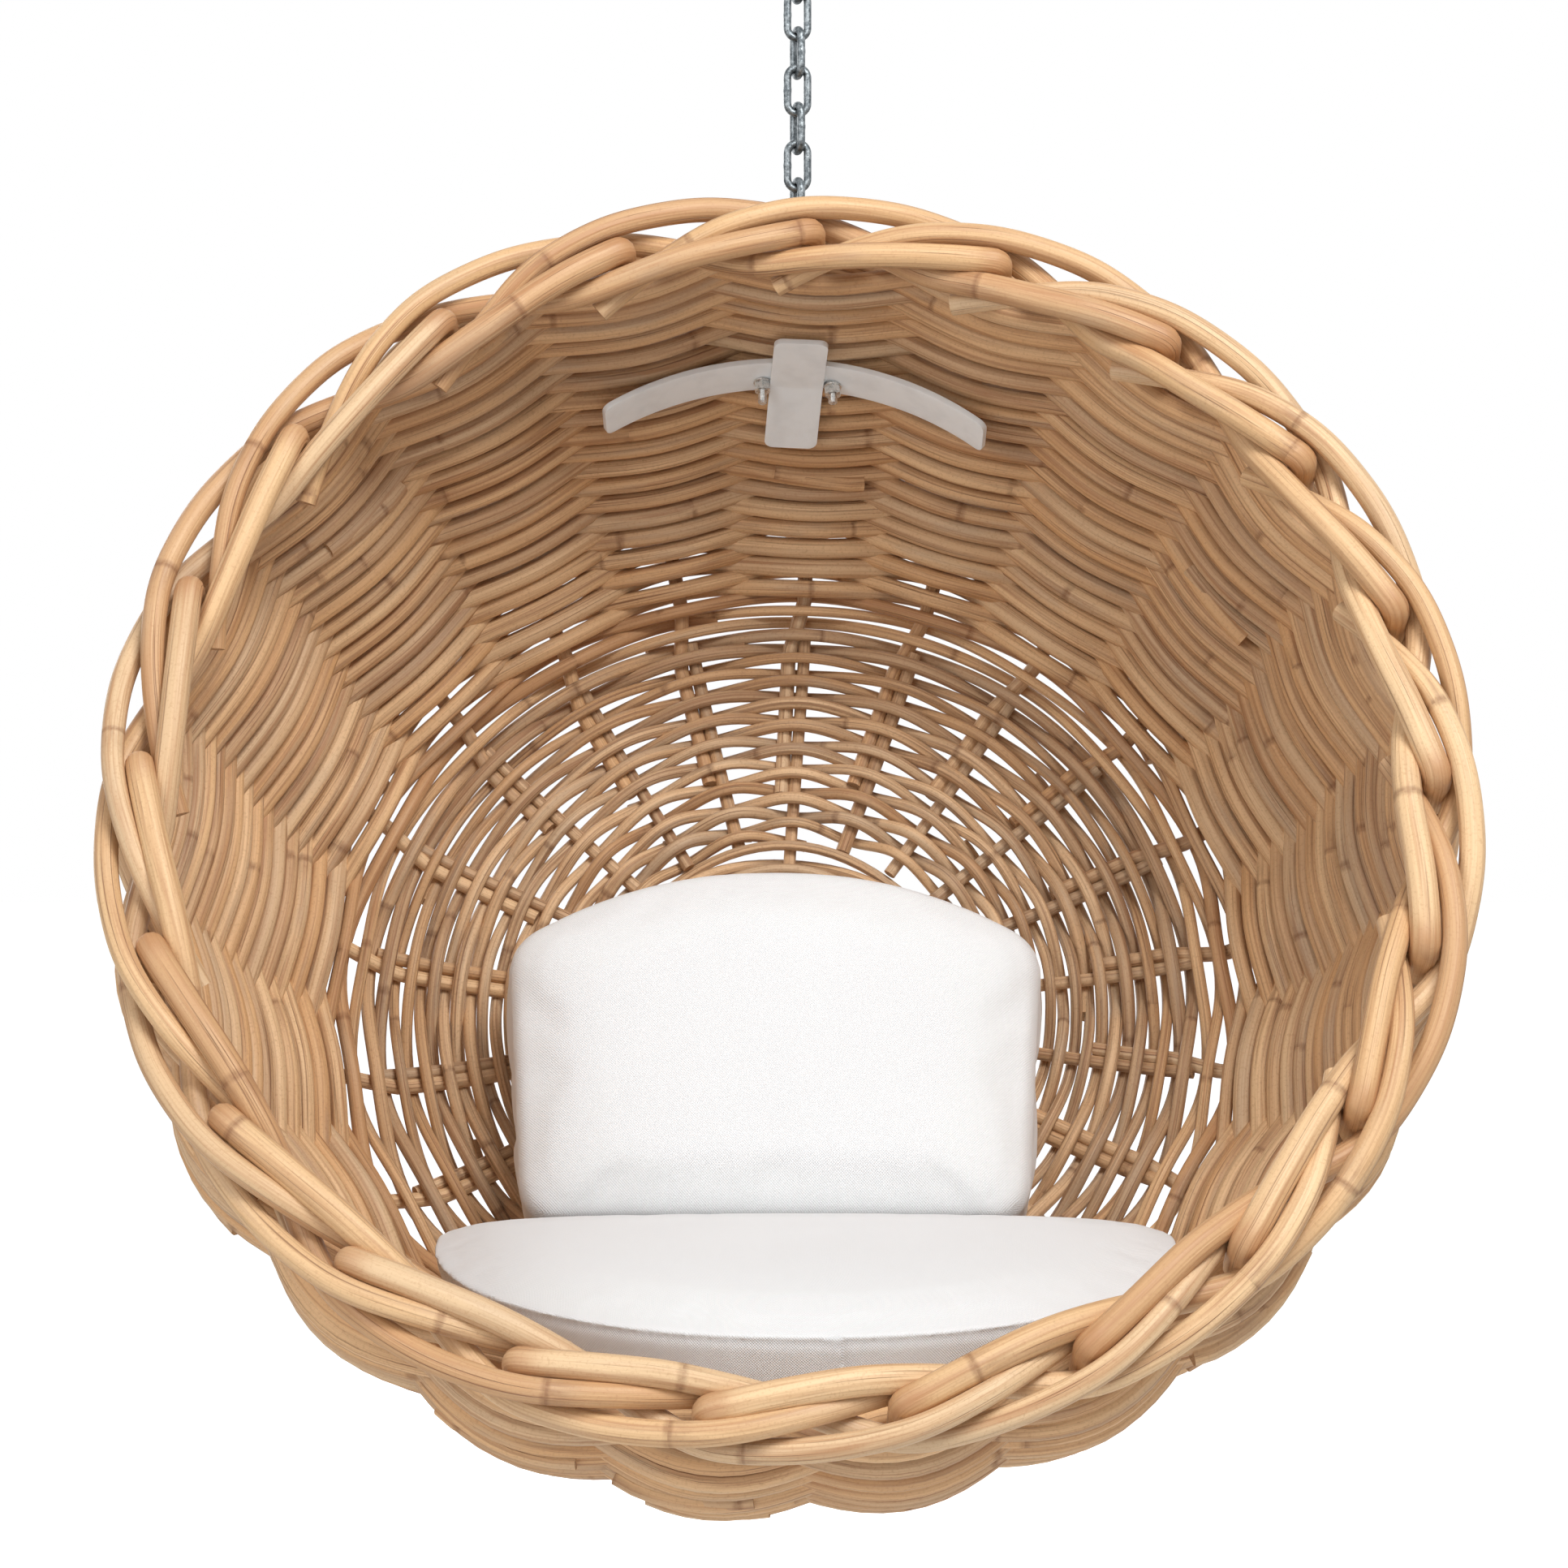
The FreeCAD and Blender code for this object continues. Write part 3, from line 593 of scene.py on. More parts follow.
rim_cane = cane_finish(
    "rim_rattan",
    pale=(0.80, 0.56, 0.32), honey=(0.67, 0.42, 0.21), brown=(0.42, 0.20, 0.085),
    grey=(0.52, 0.38, 0.25), ring_colour=(0.18, 0.065, 0.025), gloss=0.4, greyness=0.35,
)
border = Bundle(20)
route = np.array(BORDER_ROUTE)
marks = np.arange(len(route))
stretches = np.append(np.arange(0, len(route) - 1, 1 / 12), len(route) - 1)
for k in range(STAKES):
    sway = np.array([[0, border.chance.uniform(-1, 1), border.chance.uniform(-1, 1)] for _ in route])
    sway[:2] = 0
    own = route + BORDER_SWAY * sway
    along, out, forward = (np.interp(stretches, marks, own[:, n]) for n in range(3))
    angle = stake_angle(k + along, steps_along[-1])
    radius = RIM_RADIUS + out * (BORDER_WIDTH[0] + BORDER_WIDTH[1] * np.sin(angle))
    radius = radius + LOW_SHIFT * (1 - np.sin(angle)) + RIGHT_SHIFT * np.cos(angle)
    path = placed(np.stack([radius * np.cos(angle), radius * np.sin(angle), forward], axis=1))
    run = run_along(path)
    even = np.linspace(0, run[-1], int(run[-1] / PATH_STEP))
    path = np.stack([np.interp(even, run, path[:, n]) for n in range(3)], axis=1)
    fold = run[12]
    sharpness = np.exp(-(((even - fold) / FOLD_REACH) ** 2))[:, None]
    path = eased(path, FOLD_SOFTNESS) * sharpness + eased(path, RUN_SOFTNESS) * (1 - sharpness)
    past = np.clip((even - fold) / (run[-1] - fold), 0, 1)
    girth = BORDER_RADIUS * border.chance.uniform(0.93, 1.05) * (1.0 - TAIL_TAPER * past)
    bruise = 0.9 * np.exp(-(((even - fold - BRUISE_OFFSET) / BRUISE_REACH) ** 2))
    border.lay(path, girth, 14, bruise)
border.piece("plaited_border", rim_cane, end_grain, "rim_border", "rim_cane")

# Chain: ten short links of 7 mm wire, each bent to an oval, butt welded on one leg and dipped in zinc. They
# hang about a quarter turn apart, and the basket's U-bolt hangs in the lowest.
WIRE_RADIUS = 0.0035
LINK_PITCH = 0.0337
LINK_INNER_LENGTH = 0.034
LINK_INNER_WIDTH = 0.011
LINK_TWIST = (6, 112)
WELD_RISE = 0.13
WELD_REACH = 0.0016


def zinc_finish(name, light, dark, shine):
    """Hot-dip zinc: a dull mottled grey, with darker clouds."""
    made = Finish(bpy.data.materials.new(name))
    place = made.object_place()
    spangle = made.noise(place, 260.0, 3.0, 0.6)
    cloud = made.noise(place, 70.0, 2.0)
    colour = made.mixed(spangle.smooth(0.35, 0.65), (*dark, 1), (*light, 1))
    colour = made.mixed(cloud.smooth(0.45, 0.7) * 0.4, colour, (*dark, 1))
    made.shader.inputs["Metallic"].default_value = 0.85
    return made.finished(colour, shine + spangle * 0.2, spangle + cloud, 0.00035)


galvanised = zinc_finish("galvanised_zinc", (0.30, 0.33, 0.345), (0.10, 0.115, 0.125), 0.33)


def closed_form(name, points, faces):
    """A new object from points and faces, with its faces turned outwards."""
    mesh = bpy.data.meshes.new(name)
    mesh.from_pydata(points, [], faces)
    form = bmesh.new()
    form.from_mesh(mesh)
    bmesh.ops.recalc_face_normals(form, faces=form.faces)
    form.to_mesh(mesh)
    form.free()
    piece = bpy.data.objects.new(name, mesh)
    bpy.context.scene.collection.objects.link(piece)
    return piece


def tube_piece(name, path, radius, sides, closed, material, body, node):
    """A round bar along a path, as one piece that stands for a CAD node."""
    path = np.asarray(path, float)
    radius = np.broadcast_to(np.asarray(radius, float), (len(path),))
    if closed:
        ahead = np.roll(path, -1, axis=0) - np.roll(path, 1, axis=0)
    else:
        ahead = np.gradient(path, axis=0)
    ahead /= np.linalg.norm(ahead, axis=1)[:, None]
    flat = np.cross(path[len(path) // 3] - path[0], path[2 * len(path) // 3] - path[0])
    flat /= np.linalg.norm(flat)
    points = []
    for n, spot in enumerate(path):
        across = np.cross(ahead[n], flat)
        for m in range(sides):
            a = 2 * math.pi * m / sides
            points.append(spot + radius[n] * (math.cos(a) * flat + math.sin(a) * across))
    faces = []
    for n in range(len(path) if closed else len(path) - 1):
        ring = (n + 1) % len(path)
        for m in range(sides):
            m_next = (m + 1) % sides
            faces.append((n * sides + m, n * sides + m_next, ring * sides + m_next, ring * sides + m))
    if not closed:
        faces.append(tuple(range(sides))[::-1])
        faces.append(tuple((len(path) - 1) * sides + m for m in range(sides)))
    piece = closed_form(name, [tuple(p) for p in points], faces)
    piece.data.materials.append(material)
    smoothed(piece, 40)
    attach(piece, body)
    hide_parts(node)


def arc(x, y, radius, start, end, count):
    """Points of an arc about (x, y), from angle start to angle end."""
    return [(x + radius * math.cos(a), y + radius * math.sin(a)) for a in np.linspace(start, end, count)]


for k in range(10):
    bend_radius = (LINK_INNER_WIDTH + 2 * WIRE_RADIUS) / 2
    top = WIRE_RADIUS - bend_radius - k * LINK_PITCH
    low = -WIRE_RADIUS - LINK_INNER_LENGTH + bend_radius - k * LINK_PITCH
    outline = arc(0, top, bend_radius, 0, math.pi, 17)
    outline += [(-bend_radius, z) for z in np.linspace(top, low, 12)[1:-1]]
    outline += arc(0, low, bend_radius, math.pi, 2 * math.pi, 17)
    outline += [(bend_radius, z) for z in np.linspace(low, top, 12)[1:-1]]
    across, height = np.array(outline).T
    weld = 1 + WELD_RISE * np.exp(-(((height - (top + low) / 2) / WELD_REACH) ** 2)) * (across < 0)
    facing = math.radians(LINK_TWIST[k % 2])
    path = np.stack([across * math.cos(facing), across * math.sin(facing), height], axis=1)
    label = f"{k + 1:02d}"
    tube_piece(
        f"welded_link_{label}", path, WIRE_RADIUS * weld, 14, True,
        galvanised, f"link_{label}", f"chain_link_{label}",
    )

# U-bolt: a bright 8 mm rod whose bow hangs in the last link. Its two threaded legs pass through the wall
# between the canes, and a washer and nut on each pull it against the strap.
ROD_RADIUS = 0.004
THREAD_PITCH = 0.00125
THREAD_LENGTH = 0.03
LEG_LENGTH = 0.083
STRAP_THICKNESS = 0.005
bright_zinc = zinc_finish("bright_zinc", (0.88, 0.87, 0.84), (0.60, 0.59, 0.57), 0.18)
leg_end = BOLT_TOP - LEG_LENGTH
thread_end = leg_end + THREAD_LENGTH
left_leg = HANG_OFFSET - BOLT_SPACING / 2
right_leg = HANG_OFFSET + BOLT_SPACING / 2
u_path = [(left_leg, y) for y in np.arange(leg_end, thread_end, THREAD_PITCH / 4)]
u_path += [(left_leg, y) for y in np.linspace(thread_end + 0.001, BOLT_TOP, 10)]
u_path += arc(HANG_OFFSET, BOLT_TOP, BOLT_SPACING / 2, math.pi, 0, 33)[1:-1]
u_path += [(right_leg, y) for y in np.linspace(BOLT_TOP, thread_end + 0.001, 10)]
u_path += [(right_leg, y) for y in np.arange(thread_end, leg_end, -THREAD_PITCH / 4)]
u_path = np.array(u_path)
up_leg = u_path[:, 1] - leg_end
groove = 0.93 + 0.07 * np.cos(2 * math.pi * up_leg / THREAD_PITCH)
thread = np.where(up_leg < THREAD_LENGTH + 0.0002, groove, 1.0)
chamfer = np.clip(0.7 + up_leg / 0.004, 0, 1)
u_path = placed(np.insert(u_path, 2, -HANG_DEPTH, axis=1))
tube_piece(
    "hanging_u_bolt", u_path, ROD_RADIUS * thread * chamfer, 16, False,
    bright_zinc, "basket", "u_bolt",
)

# Strap: a flat steel bar, powder coated in pale grey and bent to a curve tighter than the wall's. The U-bolt
# pulls the top of its arch up against the woven canes.
STRAP_RADIUS = 0.275
STRAP_HALF_SPAN = 0.168
STRAP_WIDTH = 0.044
STRAP_CORNER = 0.008
STRAP_TOP = 0.490
STRAP_FORWARD = 0.008
STRAP_ROLL = math.radians(3)
SHARP_EDGE = math.radians(50)


def painted(name, colour, roughness):
    """Powder coat: an even colour with a fine orange-peel texture."""
    made = Finish(bpy.data.materials.new(name))
    place = made.object_place()
    peel = made.noise(place, 900.0, 2.0)
    dust = made.noise(place, 45.0, 3.0)
    darker = (*(0.8 * c for c in colour), 1)
    shade = made.mixed(dust.smooth(0.4, 0.75) * 0.35, (*colour, 1), darker)
    return made.finished(shade, roughness + dust * 0.15, peel, 0.0001)


def shaped(piece, kind, **settings):
    """One modifier, set up and applied."""
    chosen(piece)
    change = piece.modifiers.new(kind.lower(), kind)
    for key, value in settings.items():
        setattr(change, key, value)
    bpy.ops.object.modifier_apply(modifier=change.name)
    piece.select_set(False)


def bar_places(length, count):
    """Places along a bar, and how much its rounded corners take from its half width at each."""
    corner = STRAP_CORNER * (1 - np.cos(np.linspace(0, math.pi / 2, 9)))
    straight = np.linspace(STRAP_CORNER, length - STRAP_CORNER, count)[1:-1]
    places = np.concatenate([corner, straight, length - corner[::-1]])
    to_end = np.minimum(np.minimum(places, length - places) / STRAP_CORNER, 1)
    return places, STRAP_CORNER * (1 - np.sqrt(1 - (1 - to_end) ** 2))


def flat_bar(name, middle, out, across, halves, node):
    """A flat bar, from its upper face's middle line, the direction out of that face and its half widths."""
    columns = np.linspace(-1, 1, 7)
    upper = middle[:, None, :] + np.asarray(across) * halves[:, None, None] * columns[None, :, None]
    lower = upper - out[:, None, :] * STRAP_THICKNESS
    rows, wide = upper.shape[:2]
    points = placed(np.concatenate([upper.reshape(-1, 3), lower.reshape(-1, 3)]))
    below = rows * wide
    faces = []
    for n in range(rows - 1):
        for m in range(wide - 1):
            a = n * wide + m
            faces.append((a, a + 1, a + wide + 1, a + wide))
            faces.append((below + a, below + a + wide, below + a + wide + 1, below + a + 1))
        for a in (n * wide, n * wide + wide - 1):
            faces.append((a, a + wide, below + a + wide, below + a))
    for m in range(wide - 1):
        for a in (m, (rows - 1) * wide + m):
            faces.append((a, a + 1, below + a + 1, below + a))
    piece = closed_form(name, points.tolist(), faces)
    piece.data.materials.append(grey_coat)
    shaped(piece, "BEVEL", width=0.0009, segments=3, limit_method="ANGLE", angle_limit=SHARP_EDGE)
    smoothed(piece, 40)
    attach(piece, "basket")
    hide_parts(node)


def rolled(points):
    """Points or directions turned about the top of the strap's arch, as the bracket sits a little askew."""
    points = np.asarray(points, float).copy()
    x, y = points[:, 0].copy(), points[:, 1].copy()
    points[:, 0] = x * math.cos(STRAP_ROLL) + y * math.sin(STRAP_ROLL)
    points[:, 1] = y * math.cos(STRAP_ROLL) - x * math.sin(STRAP_ROLL)
    return points


grey_coat = painted("grey_powder_coat", (0.88, 0.91, 0.92), 0.42)
arch_top = np.array([HANG_OFFSET, STRAP_TOP, 0.0])
half_turn = math.asin(STRAP_HALF_SPAN / STRAP_RADIUS)
places, rounding = bar_places(2 * half_turn * STRAP_RADIUS, 60)
turns = places / STRAP_RADIUS - half_turn
outward = np.stack([np.sin(turns), np.cos(turns), np.zeros(len(turns))], axis=1)
middle = arch_top + rolled(outward * STRAP_RADIUS - (0, STRAP_RADIUS, HANG_DEPTH - STRAP_FORWARD))
flat_bar("coated_strap", middle, rolled(outward), (0, 0, 1), STRAP_WIDTH / 2 - rounding, "bracket_strap")

# Plate: a second bar of the same kind across the strap, bent down behind the nuts to follow the wall. It
# keeps the strap from turning.
PLATE_WIDTH = 0.047
PLATE_FRONT = 0.064
PLATE_BACK = 0.086
PLATE_KNEE = 0.012
PLATE_BEND = math.radians(15)
PLATE_BEND_RADIUS = 0.014
PLATE_YAW = 0.06
places, rounding = bar_places(PLATE_FRONT + PLATE_BACK, 50)
bent = np.clip((places - PLATE_FRONT - PLATE_KNEE) / PLATE_BEND_RADIUS + PLATE_BEND / 2, 0, PLATE_BEND)
stretch = np.diff(places, prepend=0)
level = -np.cumsum(np.sin(bent) * stretch)
back = -np.cumsum(np.cos(bent) * stretch)
touching = STRAP_THICKNESS + STRAP_RADIUS - math.sqrt(STRAP_RADIUS**2 - (PLATE_WIDTH / 2) ** 2)
askew = PLATE_YAW * (back + PLATE_FRONT)
middle = np.stack([askew, level - touching, back + PLATE_FRONT + STRAP_FORWARD - HANG_DEPTH], axis=1)
middle = arch_top + rolled(middle)
outward = np.stack([np.zeros(len(bent)), np.cos(bent), -np.sin(bent)], axis=1)
across = (math.cos(STRAP_ROLL), -math.sin(STRAP_ROLL), 0)
flat_bar("coated_plate", middle, rolled(outward), across, PLATE_WIDTH / 2 - rounding, "bracket_plate")

# Washers and nuts: bright zinc, a turned ring and a hexagon on each leg of the U-bolt. The nut's corners are
# chamfered at both ends.
WASHER_RADIUS = 0.008
WASHER_THICKNESS = 0.0016
NUT_ACROSS = 0.013
NUT_HEIGHT = 0.008
NUT_TURNED_RADIUS = 0.0078
leg_frame = (turn @ Matrix.Rotation(-math.pi / 2, 3, "X")).to_4x4()
washers = []
nuts = []
for side in (-1, 1):
    reach = BOLT_SPACING / 2 + WASHER_RADIUS
    seat_level = STRAP_TOP - STRAP_RADIUS + math.sqrt((STRAP_RADIUS - STRAP_THICKNESS) ** 2 - reach**2)
    seat_level -= side * reach * math.tan(STRAP_ROLL)
    x = HANG_OFFSET + side * BOLT_SPACING / 2
    bpy.ops.mesh.primitive_cylinder_add(vertices=48, radius=WASHER_RADIUS, depth=WASHER_THICKNESS)
    washer = bpy.context.object
    shaped(washer, "BEVEL", width=0.0003, segments=2)
    spot = placed((x, seat_level - WASHER_THICKNESS / 2, -HANG_DEPTH))
    washer.data.transform(Matrix.Translation(Vector(spot)) @ leg_frame)
    washers.append(washer)
    bpy.ops.mesh.primitive_cylinder_add(vertices=48, radius=NUT_TURNED_RADIUS, depth=NUT_HEIGHT + 0.0001)
    turned = bpy.context.object
    shaped(turned, "BEVEL", width=0.0010, segments=1, limit_method="ANGLE", angle_limit=SHARP_EDGE)
    to_corner = NUT_ACROSS / 2 / math.cos(math.pi / 6)
    bpy.ops.mesh.primitive_cylinder_add(vertices=6, radius=to_corner, depth=NUT_HEIGHT)
    nut = bpy.context.object
    shaped(nut, "BOOLEAN", operation="INTERSECT", object=turned, solver="EXACT")
    bpy.data.objects.remove(turned)
    nut.data.transform(Matrix.Rotation(0.4 + 0.5 * side, 4, "Z"))
    spot = placed((x, seat_level - WASHER_THICKNESS - NUT_HEIGHT / 2, -HANG_DEPTH))
    nut.data.transform(Matrix.Translation(Vector(spot)) @ leg_frame)
    nuts.append(nut)
for name, pair, node in (("turned_washers", washers, "bolt_washers"), ("hexagon_nuts", nuts, "bolt_nuts")):
    piece, other = pair
    chosen(piece)
    other.select_set(True)
    bpy.ops.object.join()
    piece.name = name
    piece.data.materials.append(bright_zinc)
    smoothed(piece, 25)
    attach(piece, "basket")
    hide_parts(node)

# Seat cushion: a cover of white cotton canvas over a foam pad, seamed from a flat top and bottom and a boxing
# band between them, with painted shade along its seams. It lies loose on the lower wall of the basket.
VOXEL = 0.005
THREAD_SPACING = 0.0023
LAP_PLACE = 0.010
LAP_WIDTH = 0.016
PRESSURE = 4.0
FRAMES = 20
FREE_REACH = 0.06
CREASE_REACH = 0.0045
# How far the painted shade of a seam reaches from it.
SEAM_SHADE_REACH = 0.0040
PUCKER_REACH = 0.018
LEVEL_FACE = 0.6


def evenly(points, count):
    """Points spread evenly round a closed outline."""
    points = np.concatenate([points, points[:1]])
    run = run_along(points)
    wanted = np.linspace(0, run[-1], count, endpoint=False)
    return np.stack([np.interp(wanted, run, points[:, n]) for n in range(2)], axis=1)


def canvas_finish(name):
    """White cotton canvas: a plain weave of threads a little over a millimetre apart, and painted shade along
    the seams.
    """
    made = Finish(bpy.data.materials.new(name))
    threads = made.node("ShaderNodeUVMap", {"uv_map": "weave"})
    split = made.node("ShaderNodeSeparateXYZ", {}, [threads.outputs[0]])
    per_metre = 2 * math.pi / THREAD_SPACING
    warp = Amount(made, split.outputs[0]) * per_metre
    weft = Amount(made, split.outputs[1]) * per_metre
    over = warp.worked("SINE", warp) * weft.worked("SINE", weft)
    place = made.object_place()
    slub = made.noise(place, 700.0, 2.0)
    cloud = made.noise(place, 9.0, 2.0)
    shade = (1 - over.smooth(-0.9, 0.6)) * 0.35 + cloud * 0.2
    # Painted shade: a grey line along the seams, standing in for the shadow of the seam's crease.
    seam_painted_shade = made.attribute("seam_painted_shade")
    colour = made.mixed(shade, (0.86, 0.87, 0.88, 1), (0.68, 0.69, 0.70, 1))
    colour = made.mixed(seam_painted_shade * 0.35, colour, (0.42, 0.43, 0.45, 1))
    made.shader.inputs["Sheen Weight"].default_value = 0.2
    return made.finished(colour, 0.85 + over * 0.05, over + slub * 0.6, 0.00022)


def listed(things, label, kind, width):
    """One property of all the points, faces or corners of a mesh, in rows if it has several numbers."""
    values = np.empty(len(things) * width, kind)
    things.foreach_get(label, values)
    return values.reshape(-1, width) if width > 1 else values


def sewn_cushion(name, outline, levels, seams, caps, sewing, softness, place, node, body):
    """A padded cover. Its closed form swells in a short cloth simulation, but its seams hold it back."""
    middle = outline.mean(axis=0)
    count = len(outline)
    crease, pucker, lap, droop = sewing
    reach = outline[:, 0].max()

    def level_with(rows):
        """The outline at each scale and height, with the ends of its upper half let down."""
        spots = [(*(middle + (p - middle) * scale), height) for scale, height in rows for p in outline]
        return [(x, y, z - droop * (x / reach) ** 2 * (z > 0)) for x, y, z in spots]

    points = level_with(levels)
    faces = []
    for n in range(len(levels) - 1):
        for m in range(count):
            low, low_next = n * count + m, n * count + (m + 1) % count
            faces.append((low, low_next, low_next + count, low + count))
    faces.append(tuple(range(count))[::-1])
    faces.append(tuple((len(levels) - 1) * count + m for m in range(count)))
    piece = closed_form(name, points, faces)
    chosen(piece)
    piece.data.remesh_voxel_size = VOXEL
    bpy.ops.object.voxel_remesh()
    seam_points = level_with(seams)
    near = KDTree(len(seam_points))
    for n, spot in enumerate(seam_points):
        near.insert(spot, n)
    near.balance()
    start = listed(piece.data.vertices, "co", np.float32, 3)
    stuffing = piece.modifiers.new("stuffing", "CLOTH")
    stuffing.settings.use_pressure = True
    stuffing.settings.uniform_pressure_force = PRESSURE
    stuffing.settings.effector_weights.gravity = 0.0
    stuffing.point_cache.frame_start = 1
    stuffing.point_cache.frame_end = FRAMES
    for step in range(1, FRAMES + 1):
        bpy.context.scene.frame_set(step)
    bpy.ops.object.modifier_apply(modifier="stuffing")
    bpy.context.scene.frame_set(1)
    move = listed(piece.data.vertices, "co", np.float32, 3) - start
    gaps = np.array([near.find(p)[2] for p in start])
    cap = caps[0] + (caps[1] - caps[0]) * np.clip(gaps / FREE_REACH, 0, 1)
    share = np.minimum(1, cap / np.maximum(np.linalg.norm(move, axis=1), 1e-9))
    piece.data.vertices.foreach_set("co", (start + move * share[:, None]).ravel())
    if softness:
        shaped(piece, "SMOOTH", factor=0.5, iterations=softness)
    shaped(piece, "SUBSURF", levels=1, render_levels=1)
    spots = listed(piece.data.vertices, "co", np.float32, 3)
    normals = listed(piece.data.vertices, "normal", np.float32, 3)
    run = np.linalg.norm(outline - np.roll(outline, 1, axis=0), axis=1).cumsum()
    along = np.roll(outline, -1, axis=0) - np.roll(outline, 1, axis=0)
    along /= np.linalg.norm(along, axis=1)[:, None]
    found = [near.find(p) for p in spots]
    gaps = np.array([f[2] for f in found])
    seam_spots = np.array([f[0] for f in found])
    nearest = np.array([f[1] for f in found]) % count
    around = run[nearest] + ((spots[:, :2] - seam_spots[:, :2]) * along[nearest]).sum(axis=1)
    pull = np.array([noise.noise(Vector((55 * s, 7 * h, 0))) for s, h in zip(around, spots[:, 2])])
    depth = crease * np.exp(-((gaps / CREASE_REACH) ** 2)) + pucker * pull * np.exp(-gaps / PUCKER_REACH)
    # Painted shade: the share of the grey seam line at each point, fading within a few millimetres of a seam.
    seam_shade_share = np.exp(-((gaps / SEAM_SHADE_REACH) ** 2)) * (crease > 0)
    seam_painted_shade = piece.data.attributes.new("seam_painted_shade", "FLOAT", "POINT")
    seam_painted_shade.data.foreach_set("value", seam_shade_share.astype(np.float32))
    across_lap = (spots[:, 0] - LAP_PLACE) / LAP_WIDTH
    on_boxing = np.abs(normals[:, 2]) < LEVEL_FACE
    lapped = (across_lap > 0) & (across_lap < 1) & (spots[:, 1] < middle[1]) & on_boxing
    depth = depth - np.where(lapped, lap * across_lap, 0)
    spots = spots - normals * depth[:, None]
    piece.data.vertices.foreach_set("co", spots.ravel())
    piece.data.update()
    corners = listed(piece.data.loops, "vertex_index", np.int32, 1)
    facing = listed(piece.data.polygons, "normal", np.float32, 3)
    totals = listed(piece.data.polygons, "loop_total", np.int32, 1)
    on_face = np.repeat(np.abs(facing[:, 2]) > LEVEL_FACE, totals)
    boxing = np.stack([around, spots[:, 2]], axis=1)
    weave = np.where(on_face[:, None], spots[corners][:, :2], boxing[corners])
    piece.data.uv_layers.new(name="weave").data.foreach_set("uv", weave.astype(np.float32).ravel())
    piece.data.transform(place)
    piece.data.materials.append(canvas)
    piece.data.polygons.foreach_set("use_smooth", np.ones(len(piece.data.polygons), bool))
    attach(piece, body)
    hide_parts(node)


canvas = canvas_finish("white_canvas")
SEAT_HALF = 0.308
SEAT_DEPTH = 0.333
SEAT_CORNER = 0.044
SEAT_BOXING = 0.066
SEAT_CROWN = 0.013
SEAT_UNDERSIDE = 0.935
SEAT_SEAM_DROP = 0.005
SEAT_PITCH = math.radians(9.4)
SEAT_PLACE = (0.018, 0.212, -0.364)
turns = np.linspace(math.pi / 2, 0, 9)
right = np.stack([SEAT_HALF - SEAT_CORNER * (1 - np.cos(turns)), SEAT_CORNER * (np.sin(turns) - 1)], axis=1)
turns = np.linspace(0, math.pi, 80)[1:-1]
bowed = SEAT_CORNER + (SEAT_DEPTH - SEAT_CORNER) * np.sin(turns)
front = np.stack([SEAT_HALF * np.cos(turns), -bowed], axis=1)
seat_outline = evenly(np.concatenate([right, front, right[::-1] * (-1, 1)]), 240)
half = SEAT_BOXING / 2
seat_levels = [(0.3, -half - 0.005), (0.8, -half - 0.003), (SEAT_UNDERSIDE, -half), (0.975, 0.0), (1.0, half)]
seat_levels += [(s, half + SEAT_CROWN * (1 - s**4)) for s in (0.97, 0.93, 0.85, 0.7, 0.5, 0.25)]
seat_seams = ((SEAT_UNDERSIDE, -half), (1.0, half - SEAT_SEAM_DROP))
seat_turn = Matrix.Rotation(SEAT_PITCH, 4, "X")
seat_spot = rim_centre + Vector(SEAT_PLACE) - (seat_turn @ Vector((0, 0, half)))
sewn_cushion(
    "canvas_seat_cushion", seat_outline, seat_levels, seat_seams, caps=(0.001, 0.006),
    sewing=(0.0022, 0.0006, 0.005, 0.008), softness=0, place=Matrix.Translation(seat_spot) @ seat_turn,
    node="seat_cushion", body="seat_pad",
)

# Back cushion: the same canvas over a softer filling, so its edges are rounder. It leans on the base of the
# basket and stands on the seat cushion.
BACK_HALF = 0.236
BACK_FOOT = 0.218
BACK_SIDE = 0.258
BACK_RISE = 0.072
BACK_SHOULDER = 0.024
BACK_CORNER = 0.034
BACK_BOXING = 0.088
BACK_PLACE = (-0.008, -0.245, -0.3974)
turns = np.linspace(-math.pi / 2, 0, 8)
right = np.stack([BACK_HALF - BACK_CORNER * (1 - np.cos(turns)), BACK_CORNER * (1 + np.sin(turns))], axis=1)
turns = np.linspace(math.pi / 2, 0, 10)
inset = BACK_SHOULDER * (1 - np.sin(turns))
inset = np.concatenate([inset, np.linspace(BACK_SHOULDER, BACK_HALF, 16)[1:]])
drop = BACK_SHOULDER - np.sqrt(BACK_SHOULDER**2 - np.clip(BACK_SHOULDER - inset, 0, None) ** 2)
shares = 1 - inset / BACK_HALF
arch = np.stack([BACK_HALF * shares, BACK_SIDE + BACK_RISE * (1 - shares**2.2) - drop], axis=1)
right = np.concatenate([right, arch])
up_side = np.clip(right[:, 1] / BACK_SIDE, 0, 1)
right[:, 0] *= (BACK_FOOT + (BACK_HALF - BACK_FOOT) * up_side) / BACK_HALF
back_outline = evenly(np.concatenate([right, right[-2::-1] * (-1, 1)]), 240)
half = BACK_BOXING / 2
back_levels = [(0.3, -half - 0.014), (0.7, -half - 0.012), (0.88, -half - 0.007), (0.965, -half - 0.001)]
back_levels += [(1.0, -0.72 * half), (1.0, 0.72 * half), (0.965, half + 0.002)]
back_levels += [(0.88, half + 0.010), (0.66, half + 0.018), (0.3, half + 0.021)]
back_seams = ((1.0, -0.9 * half), (1.0, 0.9 * half))
back_spot = Vector(placed(BACK_PLACE))
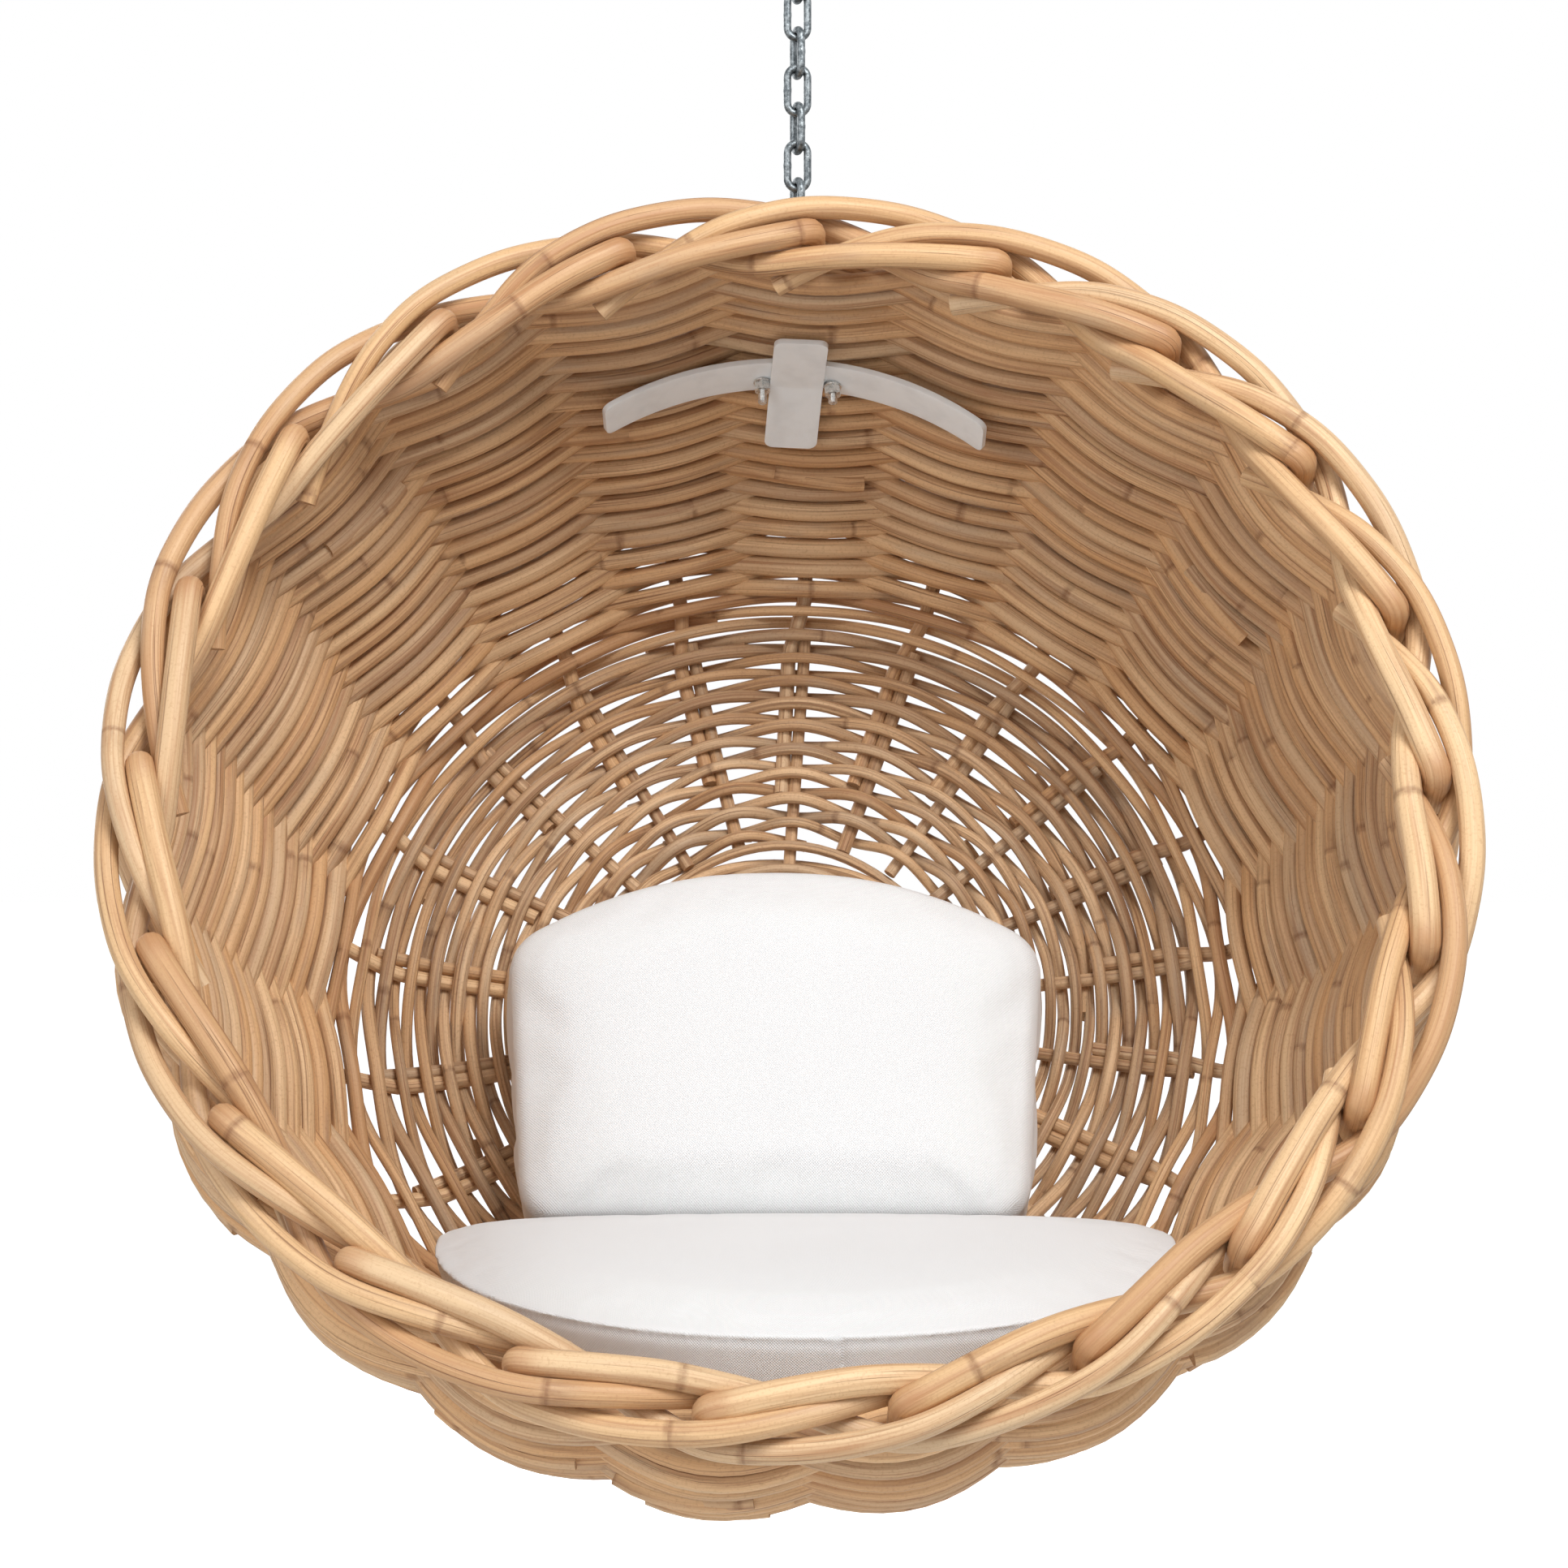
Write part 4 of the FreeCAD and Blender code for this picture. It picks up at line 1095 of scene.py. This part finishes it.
sewn_cushion(
    "canvas_back_cushion", back_outline, back_levels, back_seams, caps=(0.003, 0.007),
    sewing=(0.0, 0.0002, 0.0, 0.0), softness=12, place=Matrix.Translation(back_spot) @ turn.to_4x4(),
    node="back_cushion", body="back_pad",
)

# Camera, floor and light: the chair is seen straight from the front, at the height of its rim's centre, over
# a white floor and in the light of three soft lamps.
PICTURE = 1932
FOCUS = 4686.0
SENSOR = 36.0
EYE_PLACE = (0, -2.970, -0.003)
eye = bpy.data.cameras.new("camera")
eye.sensor_width = SENSOR
eye.lens = SENSOR * FOCUS / PICTURE
camera = bpy.data.objects.new("camera", eye)
bpy.context.scene.collection.objects.link(camera)
camera.location = rim_centre + Vector(EYE_PLACE)
camera.rotation_euler = (math.pi / 2, 0, 0)
bpy.context.scene.camera = camera

FLOOR_DROP = 0.45
FLOOR_GLOW = 0.78
floor_finish = Finish(bpy.data.materials.new("pale_floor"))
seen = Amount(floor_finish, floor_finish.node("ShaderNodeLightPath").outputs["Is Camera Ray"])
floor_finish.shader.inputs["Base Color"].default_value = (0.8, 0.8, 0.8, 1)
floor_finish.shader.inputs["Roughness"].default_value = 0.9
glow = floor_finish.node("ShaderNodeEmission", {}, {"Color": (1, 1, 1, 1), "Strength": seen * FLOOR_GLOW})
both = floor_finish.node("ShaderNodeAddShader", {}, [floor_finish.shader.outputs[0], glow.outputs[0]])
output = floor_finish.tree.nodes["Material Output"]
floor_finish.feed(output.inputs["Surface"], both.outputs[0])
bpy.ops.mesh.primitive_plane_add(size=60, location=(0, 0, cad_box[0].z - FLOOR_DROP))
floor = bpy.context.object
floor.name = "floor"
floor.data.materials.append(floor_finish.material)

AMBIENT = 0.34
LIT_POINT = (0, -0.3, -0.9)
bpy.context.scene.world = bpy.data.worlds.new("studio")
surround = Finish(bpy.context.scene.world)
rays = surround.node("ShaderNodeLightPath").outputs
shown = Amount(surround, rays["Is Camera Ray"])
shown = shown.worked("MAXIMUM", shown, rays["Is Glossy Ray"])
sky = surround.tree.nodes["Background"]
sky.inputs["Color"].default_value = (1, 1, 1, 1)
surround.feed(sky.inputs["Strength"], shown * (1 - AMBIENT) + AMBIENT)


def softbox(name, place, width, power):
    """A large square light that faces the middle of the basket."""
    lamp = bpy.data.lights.new(name, "AREA")
    lamp.size = width
    lamp.energy = power
    light = bpy.data.objects.new(name, lamp)
    light.location = place
    light.rotation_euler = (Vector(LIT_POINT) - Vector(place)).to_track_quat("-Z", "Y").to_euler()
    bpy.context.scene.collection.objects.link(light)


softbox("key", (1.1, -2.8, 1.7), width=1.6, power=122)
softbox("fill", (-2.2, -3.0, 0.2), width=2.0, power=40)
softbox("back", (-1.4, 3.0, 0.1), width=2.4, power=55)

bpy.context.scene.view_settings.view_transform = "Standard"
